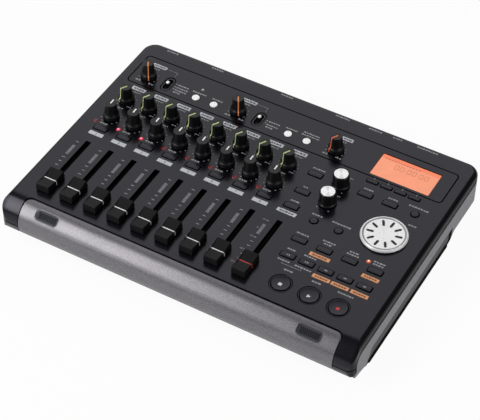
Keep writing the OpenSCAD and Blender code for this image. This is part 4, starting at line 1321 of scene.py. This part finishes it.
DISPLAY_AT = (98.7, 67.2)
DISPLAY_SIZE = (47.7, 24.1)
DISPLAY_TOP = -0.5
DISPLAY_LOW = -3.4
DISPLAY_CORNER = 0.7
DISPLAY_EDGE = 0.15
FLANGE_OUT = 3.3
FLANGE_TOP = -2.4
BAND_AT = 7.4
BAND_SOFT = 1.2
BAND_SHARE = 0.9
POINT_SIZE = (0.5, 0.5)
BLOCK_SIZE = (1.6, 0.9)
SEGMENT_W = 2.5
SEGMENT_H = 4.6
SEGMENT_T = 0.42
FIGURE_HEIGHTS = (DISPLAY_TOP - 0.05, DISPLAY_TOP + 0.02)
FIGURE_AT = (-8.7, 3.2)
FIGURE_COUNT = 6
FIGURE_STEP = 4.2
PAIR_GAP = 1.6
COLON_X = -1.6
COLON_STEP = 10.0
COLON_HALF = 1.1
BLOCKS_AT = (-20.0, 8.4)
BLOCK_COUNT = 12
BLOCK_STEP = 2.5


def display_finish(colours):
    """Lit display: a faintly clouded glow with a darker band along its rear edge."""
    finish = Finish("display_glow")
    band_y = (DISPLAY_AT[1] + ZERO_Y + BAND_AT) * MM
    band = finish.place.axis("Y").step(band_y, band_y + BAND_SOFT * MM) * BAND_SHARE
    clouds = finish.place.noise(9 * MM)
    deep = shade(colours.display, 0.8)
    band_colour = srgb(238, 122, 78)
    lit = band.between(clouds.between(deep, colours.display), band_colour)
    finish.set(
        Base_Color=band.between(shade(colours.display, 0.25), shade(band_colour, 0.25)),
        Roughness=0.16,
        Emission_Color=lit,
        Emission_Strength=0.84,
    )
    return finish.material


def zero_figure():
    """The figure zero of six straight segments."""
    level = bar(SEGMENT_W - SEGMENT_T, SEGMENT_T, *FIGURE_HEIGHTS, 0.1)
    upright = bar(SEGMENT_T, SEGMENT_H / 2 - SEGMENT_T, *FIGURE_HEIGHTS, 0.1)
    return gathered(
        [level.moved(0.0, side * SEGMENT_H / 2) for side in (1, -1)]
        + [upright.moved(x * SEGMENT_W / 2, y * SEGMENT_H / 4) for x in (-1, 1) for y in (1, -1)]
    )


LENS_R = 1.75
LENS_LIP = 0.03
LENS_RISE = 0.6
STEM_R = 1.35
STEM_FLANGE_R = 2.2
STEM_HEIGHTS = (-3.4, -2.4)
ARM_LAMP_AT = (-8.2, 1.6)
EDIT_LAMP_AT = (114.4, -24.1)
SUPPLY_LAMP_AT = (-77.8, 71.5)


class RECORDER_OT_display(bpy.types.Operator):
    """Build the lit display and the small lamps"""

    bl_idname = "recorder.display"
    bl_label = "Display and Lamps"

    def execute(self, context):
        colours = context.scene.recorder_colours
        width, depth = DISPLAY_SIZE
        edge_z = DISPLAY_TOP - DISPLAY_EDGE
        levels = [(0.0, DISPLAY_LOW), (0.0, edge_z), (DISPLAY_EDGE, DISPLAY_TOP)]
        panel = block(width, depth, DISPLAY_CORNER, levels, 4)
        flange = slab(width + FLANGE_OUT, depth + FLANGE_OUT, 1.2, DISPLAY_LOW, FLANGE_TOP, 4)
        make_piece("display_panel", (panel + flange).on_panel(*DISPLAY_AT), CASE_BODY,
                   display_finish(colours), ("display_window",))
        self.figures()
        self.lamps()
        return {"FINISHED"}

    def figures(self):
        """Plain zeros of a counter and a row of small blocks along the rear edge."""
        x0, y0 = DISPLAY_AT
        row = y0 + FIGURE_AT[1]
        steps = [FIGURE_AT[0] + FIGURE_STEP * i + PAIR_GAP * (i // 2) for i in range(FIGURE_COUNT)]
        figure = zero_figure()
        figures = [figure.on_panel(x0 + step, row) for step in steps]
        point = bar(*POINT_SIZE, *FIGURE_HEIGHTS)
        dots = [
            point.on_panel(x0 + COLON_X + COLON_STEP * i, row + side)
            for i in range(2) for side in (-COLON_HALF, COLON_HALF)
        ]
        small = bar(*BLOCK_SIZE, *FIGURE_HEIGHTS).on_panel(x0 + BLOCKS_AT[0], y0 + BLOCKS_AT[1])
        blocks = [small.moved(BLOCK_STEP * i) for i in range(BLOCK_COUNT)]
        faint = ink("display_figures", srgb(206, 108, 74), 0.3)
        make_piece("display_counter", gathered(figures + dots + blocks), CASE_BODY, faint)

    def lamps(self):
        """Domed lenses: two arm lamps lit red, the others unlit but with a faint painted glow; one orange
        and one pale lamp.
        """
        turn = np.radians(np.linspace(0.0, 84.0, 7))
        dome = np.stack([LENS_R * np.cos(turn), LENS_LIP + (LENS_RISE - LENS_LIP) * np.sin(turn)], axis=-1)
        low, high = STEM_HEIGHTS
        stem = [(0.3, low), (STEM_FLANGE_R, low), (STEM_FLANGE_R, high), (STEM_R, high), (STEM_R, LENS_LIP)]
        lens = lathe(np.vstack([stem, dome]), 32)
        arm = [lens.on_panel(x + ARM_LAMP_AT[0], ARM_LAMP_AT[1]) for x in TRACKS]
        edit = lens.on_panel(*EDIT_LAMP_AT)
        supply = lens.on_panel(*SUPPLY_LAMP_AT)
        red = lens_finish("lamp_red", srgb(255, 150, 170), srgb(150, 12, 36), 1.05, 0.55)
        # the unlit arm lamps glow faintly: painted glow
        off_faint_glow = lens_finish("lamp_dark", srgb(50, 18, 20), srgb(140, 30, 34), 0.3, 0.42)
        orange = lens_finish("lamp_orange", srgb(255, 204, 168), srgb(150, 36, 16), 0.95, 0.55)
        pale = lens_finish("lamp_pale", srgb(150, 150, 152), srgb(66, 66, 70), 0.3, 0.5)
        make_piece("arm_lamps_lit", gathered(arm[1:3]), CASE_BODY, red, ("indicator_lenses",))
        make_piece("arm_lamps_dark", gathered(arm[:1] + arm[3:]), CASE_BODY, off_faint_glow)
        make_piece("edit_lamp", edit, CASE_BODY, orange)
        make_piece("supply_lamp", supply, CASE_BODY, pale)


# printed markings

INK_LOW = -0.06
INK_CORNER = 0.25
INK_STEP = 0.02
DASH_SHARES = (1.0, 0.7, 1.25, 0.85)
DASH_GAP = 0.45
DASH_PITCH = 2.1
RING_DOT_R = 0.45
SINGLE_DOT_R = 0.55
# width and depth
TRACK_BAR_SIZE = (12.3, 3.6)
UNITY_SIZE = (2.5, 1.4)
TICK_SIZE = (2.6, 0.55)
ORANGE_DEPTH = 3.4
BROWN_SHARE = 0.72
BROWN_DEPTH = 1.5
TRACK_FIGURE = 3.4
SCALE_FIGURE = 2.2


def flat_bar(x, y, width, depth, height):
    """Printed bar on the panel."""
    return bar(width, depth, INK_LOW, height, INK_CORNER).on_panel(x, y)


def flat_dot(x, y, radius, height):
    """Printed dot on the panel."""
    core = radius * 0.3
    dot = lathe([(core, INK_LOW), (radius, INK_LOW), (radius, height), (core, height)], 14)
    return dot.on_panel(x, y)


def dashes(x, y, width, height, depth=1.25):
    """Row of short plain dashes in the place of a legend."""
    count = max(2, int(round(width / DASH_PITCH)))
    lengths = np.resize(DASH_SHARES, count)
    lengths *= (width - DASH_GAP * (count - 1)) / lengths.sum()
    ends = np.cumsum(lengths + DASH_GAP) - DASH_GAP
    middles = x - width / 2 + ends - lengths / 2
    return gathered(
        flat_bar(middle, y, length, depth, height) for middle, length in zip(middles, lengths)
    )


def scale_dots(x, y, radius, height, count=11, reach=145.0):
    """Ring of dots round a knob, open to the front."""
    angles = np.radians(np.linspace(-reach, reach, count))
    return gathered(
        flat_dot(x + radius * math.sin(a), y + radius * math.cos(a), RING_DOT_R, height)
        for a in angles
    )


def numerals(figures, height_mm, places, low, high):
    """Plain numbers as thin solid letters, one at each place, joined into one surface."""
    total = []
    for figure, (x, y) in zip(figures, places):
        curve = bpy.data.curves.new("figure", "FONT")
        curve.body = figure
        curve.size = height_mm
        curve.align_x = "CENTER"
        curve.align_y = "CENTER"
        curve.extrude = (high - low) / 2
        maker = bpy.data.objects.new("figure", curve)
        bpy.context.scene.collection.objects.link(maker)
        shape = maker.evaluated_get(bpy.context.evaluated_depsgraph_get()).to_mesh()
        shape.calc_loop_triangles()
        points = np.empty(len(shape.vertices) * 3)
        shape.vertices.foreach_get("co", points)
        triangles = np.empty(len(shape.loop_triangles) * 3, int)
        shape.loop_triangles.foreach_get("vertices", triangles)
        total.append(Surface(points, None, triangles).on_panel(x, y, (low + high) / 2))
        bpy.data.objects.remove(maker)
        bpy.data.curves.remove(curve)
    return gathered(total)


LEGENDS = (
    (-121.0, 97.6, 10.0), (-80.0, 97.8, 10.0), (-18.0, 97.8, 10.0), (30.5, 97.8, 12.0), (58.5, 97.6, 11.0),
    (77.0, 97.6, 7.5), (102.0, 97.6, 17.0),
    (-121.5, 74.4, 5.5), (-40.0, 74.4, 5.0), (43.8, 74.4, 4.0), (-128.0, 57.0, 4.6), (-116.5, 57.0, 4.2),
    (-47.5, 57.0, 4.6), (-35.8, 57.0, 4.2), (36.5, 57.0, 4.2), (47.8, 57.0, 4.6),
    (-92.5, 67.1, 9.0), (-92.0, 64.0, 10.0), (-92.0, 61.2, 10.0), (-94.0, 58.6, 6.0),
    (-11.5, 66.2, 9.5), (-11.5, 62.6, 9.5), (-13.0, 60.0, 6.0),
    (-78.0, 67.0, 12.0), (-62.0, 67.0, 9.0), (3.0, 67.0, 9.5), (19.0, 69.6, 13.5), (19.0, 67.0, 14.5),
    (41.3, 39.3, 10.0), (41.3, 18.3, 3.6), (41.3, 1.8, 7.0),
    (66.6, 42.7, 2.6), (66.6, 21.8, 2.6),
    (82.5, 39.0, 7.5), (102.3, 39.0, 7.5), (122.5, 40.0, 15.5), (126.0, 22.0, 6.5),
    (62.0, -2.5, 8.5), (81.7, -2.5, 15.0),
    (62.0, -24.3, 9.5), (82.0, -22.0, 10.0), (82.0, -24.4, 6.0), (102.0, -22.0, 7.0), (102.0, -24.4, 9.5),
    (122.0, -22.0, 9.0), (122.0, -24.4, 8.0),
    (62.0, -41.2, 6.5), (77.0, -41.2, 9.5), (62.0, -53.0, 9.5), (77.5, -53.0, 13.0),
    (69.8, -60.0, 7.0), (92.0, -60.0, 7.0), (114.8, -60.0, 12.0),
)
# shift from a track's middle, y, width and depth
TRACK_LEGENDS = (
    (-1.2, 1.7, 6.6, 1.25), (2.4, 43.5, 6.4, 1.0), (5.6, 26.4, 4.0, 1.0), (0.4, 22.6, 4.4, 1.0),
)
FADER_XS = [*TRACKS, MASTER_X - 0.7]
TICK_YS = (-25.0, -43.5, -48.2, -52.8, -57.5, -62.0, -67.0, -71.5)
TICK_DX = -7.4
UNITY_YS = (-30.0, -31.8, -33.6, -35.4, -37.2, -39.0)
ORANGE_BARS = (
    (82.5, -37.6, 16.0), (122.5, -37.7, 13.3),
    (92.8, -54.8, 13.5), (107.5, -54.8, 13.5), (122.7, -54.8, 13.5),
)
SCALE_FIGURES = ("10", "0", "10", "20", "30")
SCALE_YS = (-24.9, -34.2, -43.4, -57.5, -71.4)
SCALE_X = 30.4
TRACK_BAR_Y = -10.9
# middle, width and depth of each pale bar, then width and depth of the dashes in it
LABELS = [
    (41.2, -10.8, 15.5, 3.5, 11.5, 1.6),
    *[(x + 1.5, 47.5, 12.0, 3.8, 8.8, 1.7) for x in TRACKS],
    *[(x, 78.3, 12.5, 3.5, 9.4, 1.6) for x in (-120.8, -39.8)],
    (44.8, 78.3, 9.5, 3.5, 6.8, 1.6),
]
DOT_RING_R = 7.6
DOT_RINGS = [
    *[(x, y) for x in TRACKS for y in (PAN_ROW, LEVEL_ROW)],
    (-122.5, 64.2), (-42.0, 64.2), (42.2, 64.2),
]
SINGLE_DOTS = (
    (57.5, 5.0), (67.0, 5.0), (67.0, 26.0),
    (-98.5, 67.1), (-98.5, 64.2), (-98.5, 61.6), (-17.7, 66.3), (-17.7, 63.5),
)
THIN_LINES = (
    (-109.5, 78.5, 10.0, 0.3), (-104.5, 76.3, 0.3, 4.6), (-28.8, 78.5, 10.0, 0.3), (-23.8, 76.3, 0.3, 4.6),
    (81.0, 51.2, 0.4, 2.4), (92.4, 51.2, 0.4, 2.4), (104.0, 51.2, 0.4, 2.4), (115.5, 51.2, 0.4, 2.4),
    (69.5, -55.8, 15.0, 0.3), (62.0, -55.2, 0.3, 1.2), (77.0, -55.2, 0.3, 1.2),
)


class RECORDER_OT_markings(bpy.types.Operator):
    """Print the bars, scales, dots, lines and plain numbers on the panel"""

    bl_idname = "recorder.markings"
    bl_label = "Markings"

    def execute(self, context):
        colours = context.scene.recorder_colours
        height = context.scene.recorder_sizes.ink_height / MM
        raised = height + INK_STEP
        grey = ink("legend_ink", colours.legend)
        bars = [flat_bar(x, TRACK_BAR_Y, *TRACK_BAR_SIZE, height) for x in TRACKS]
        bars += [flat_bar(x, y, width, depth, height) for x, y, width, depth, _, _ in LABELS]
        label_dashes = [dashes(x, y, width, raised, depth) for x, y, _, _, width, depth in LABELS]
        unity = [flat_bar(x + TICK_DX, y, *UNITY_SIZE, height) for x in FADER_XS for y in UNITY_YS]
        oranges = [flat_bar(x, y, width, ORANGE_DEPTH, height) for x, y, width in ORANGE_BARS]
        browns = [dashes(x, y, width * BROWN_SHARE, raised, BROWN_DEPTH) for x, y, width in ORANGE_BARS]
        track_places = [(x, TRACK_BAR_Y) for x in TRACKS]
        tracks = numerals("12345678", TRACK_FIGURE, track_places, height - INK_STEP, raised)
        scale_places = [(SCALE_X, y) for y in SCALE_YS]
        scale = numerals(SCALE_FIGURES, SCALE_FIGURE, scale_places, INK_LOW, height)
        prints = (
            ("label_bars", gathered(bars), ink("pale_ink", colours.ink)),
            ("scale_marks", self.scales(height), grey),
            ("legend_dashes", self.legends(height), grey),
            ("unity_blocks", gathered(unity), ink("unity_ink", srgb(120, 121, 125))),
            ("orange_bars", gathered(oranges), ink("orange_print", colours.orange_ink)),
            ("track_numbers", tracks, ink("dark_print", srgb(40, 40, 44))),
            ("label_dashes", gathered(label_dashes), ink("label_print", srgb(92, 94, 100))),
            ("orange_dashes", gathered(browns), ink("brown_print", srgb(120, 70, 40))),
            ("scale_numbers", scale, grey),
        )
        for name, surface, paint in prints:
            make_piece(name, surface, CASE_BODY, paint)
        return {"FINISHED"}

    def scales(self, height):
        """Fader ticks, knob dots, switch dots and thin joining lines."""
        marks = [flat_bar(x + TICK_DX, y, *TICK_SIZE, height) for x in FADER_XS for y in TICK_YS]
        marks += [scale_dots(x, y, DOT_RING_R, height) for x, y in DOT_RINGS]
        marks += [flat_dot(x, y, SINGLE_DOT_R, height) for x, y in SINGLE_DOTS]
        marks += [flat_bar(x, y, width, depth, height) for x, y, width, depth in THIN_LINES]
        return gathered(marks)

    def legends(self, height):
        """Plain dashes where short legends stand."""
        rows = [dashes(x, y, width, height) for x, y, width in LEGENDS]
        for shift, y, width, depth in TRACK_LEGENDS:
            rows += [dashes(x + shift, y, width, height, depth) for x in TRACKS]
        return gathered(rows)


# sidebar

class RECORDER_PT_panel(bpy.types.Panel):
    """Buttons and settings of the recorder's looks"""

    bl_idname = "RECORDER_PT_panel"
    bl_label = "Recorder"
    bl_space_type = "VIEW_3D"
    bl_region_type = "UI"
    bl_category = "Recorder"

    def draw(self, context):
        for operator in OPERATORS:
            self.layout.operator(operator.bl_idname)
        for setting, _ in SETTINGS:
            group = getattr(context.scene, setting)
            box = self.layout.box()
            for name in group.__annotations__:
                box.prop(group, name)


OPERATORS = (
    RECORDER_OT_stage, RECORDER_OT_case, RECORDER_OT_inside, RECORDER_OT_knobs, RECORDER_OT_tone_knobs,
    RECORDER_OT_data_wheel, RECORDER_OT_faders, RECORDER_OT_keys, RECORDER_OT_display, RECORDER_OT_markings,
)
SETTINGS = (
    ("recorder_sizes", RecorderSizes),
    ("recorder_colours", RecorderColours),
    ("recorder_stage", RecorderStage),
)


def register():
    for name, group in SETTINGS:
        bpy.utils.register_class(group)
        setattr(bpy.types.Scene, name, bpy.props.PointerProperty(type=group))
    for operator in OPERATORS:
        bpy.utils.register_class(operator)
    bpy.utils.register_class(RECORDER_PT_panel)


def unregister():
    bpy.utils.unregister_class(RECORDER_PT_panel)
    for operator in reversed(OPERATORS):
        bpy.utils.unregister_class(operator)
    for name, group in reversed(SETTINGS):
        delattr(bpy.types.Scene, name)
        bpy.utils.unregister_class(group)


def main():
    register()
    for operator in OPERATORS:
        family, action = operator.bl_idname.split(".")
        getattr(getattr(bpy.ops, family), action)()


if __name__ == "__main__":
    main()
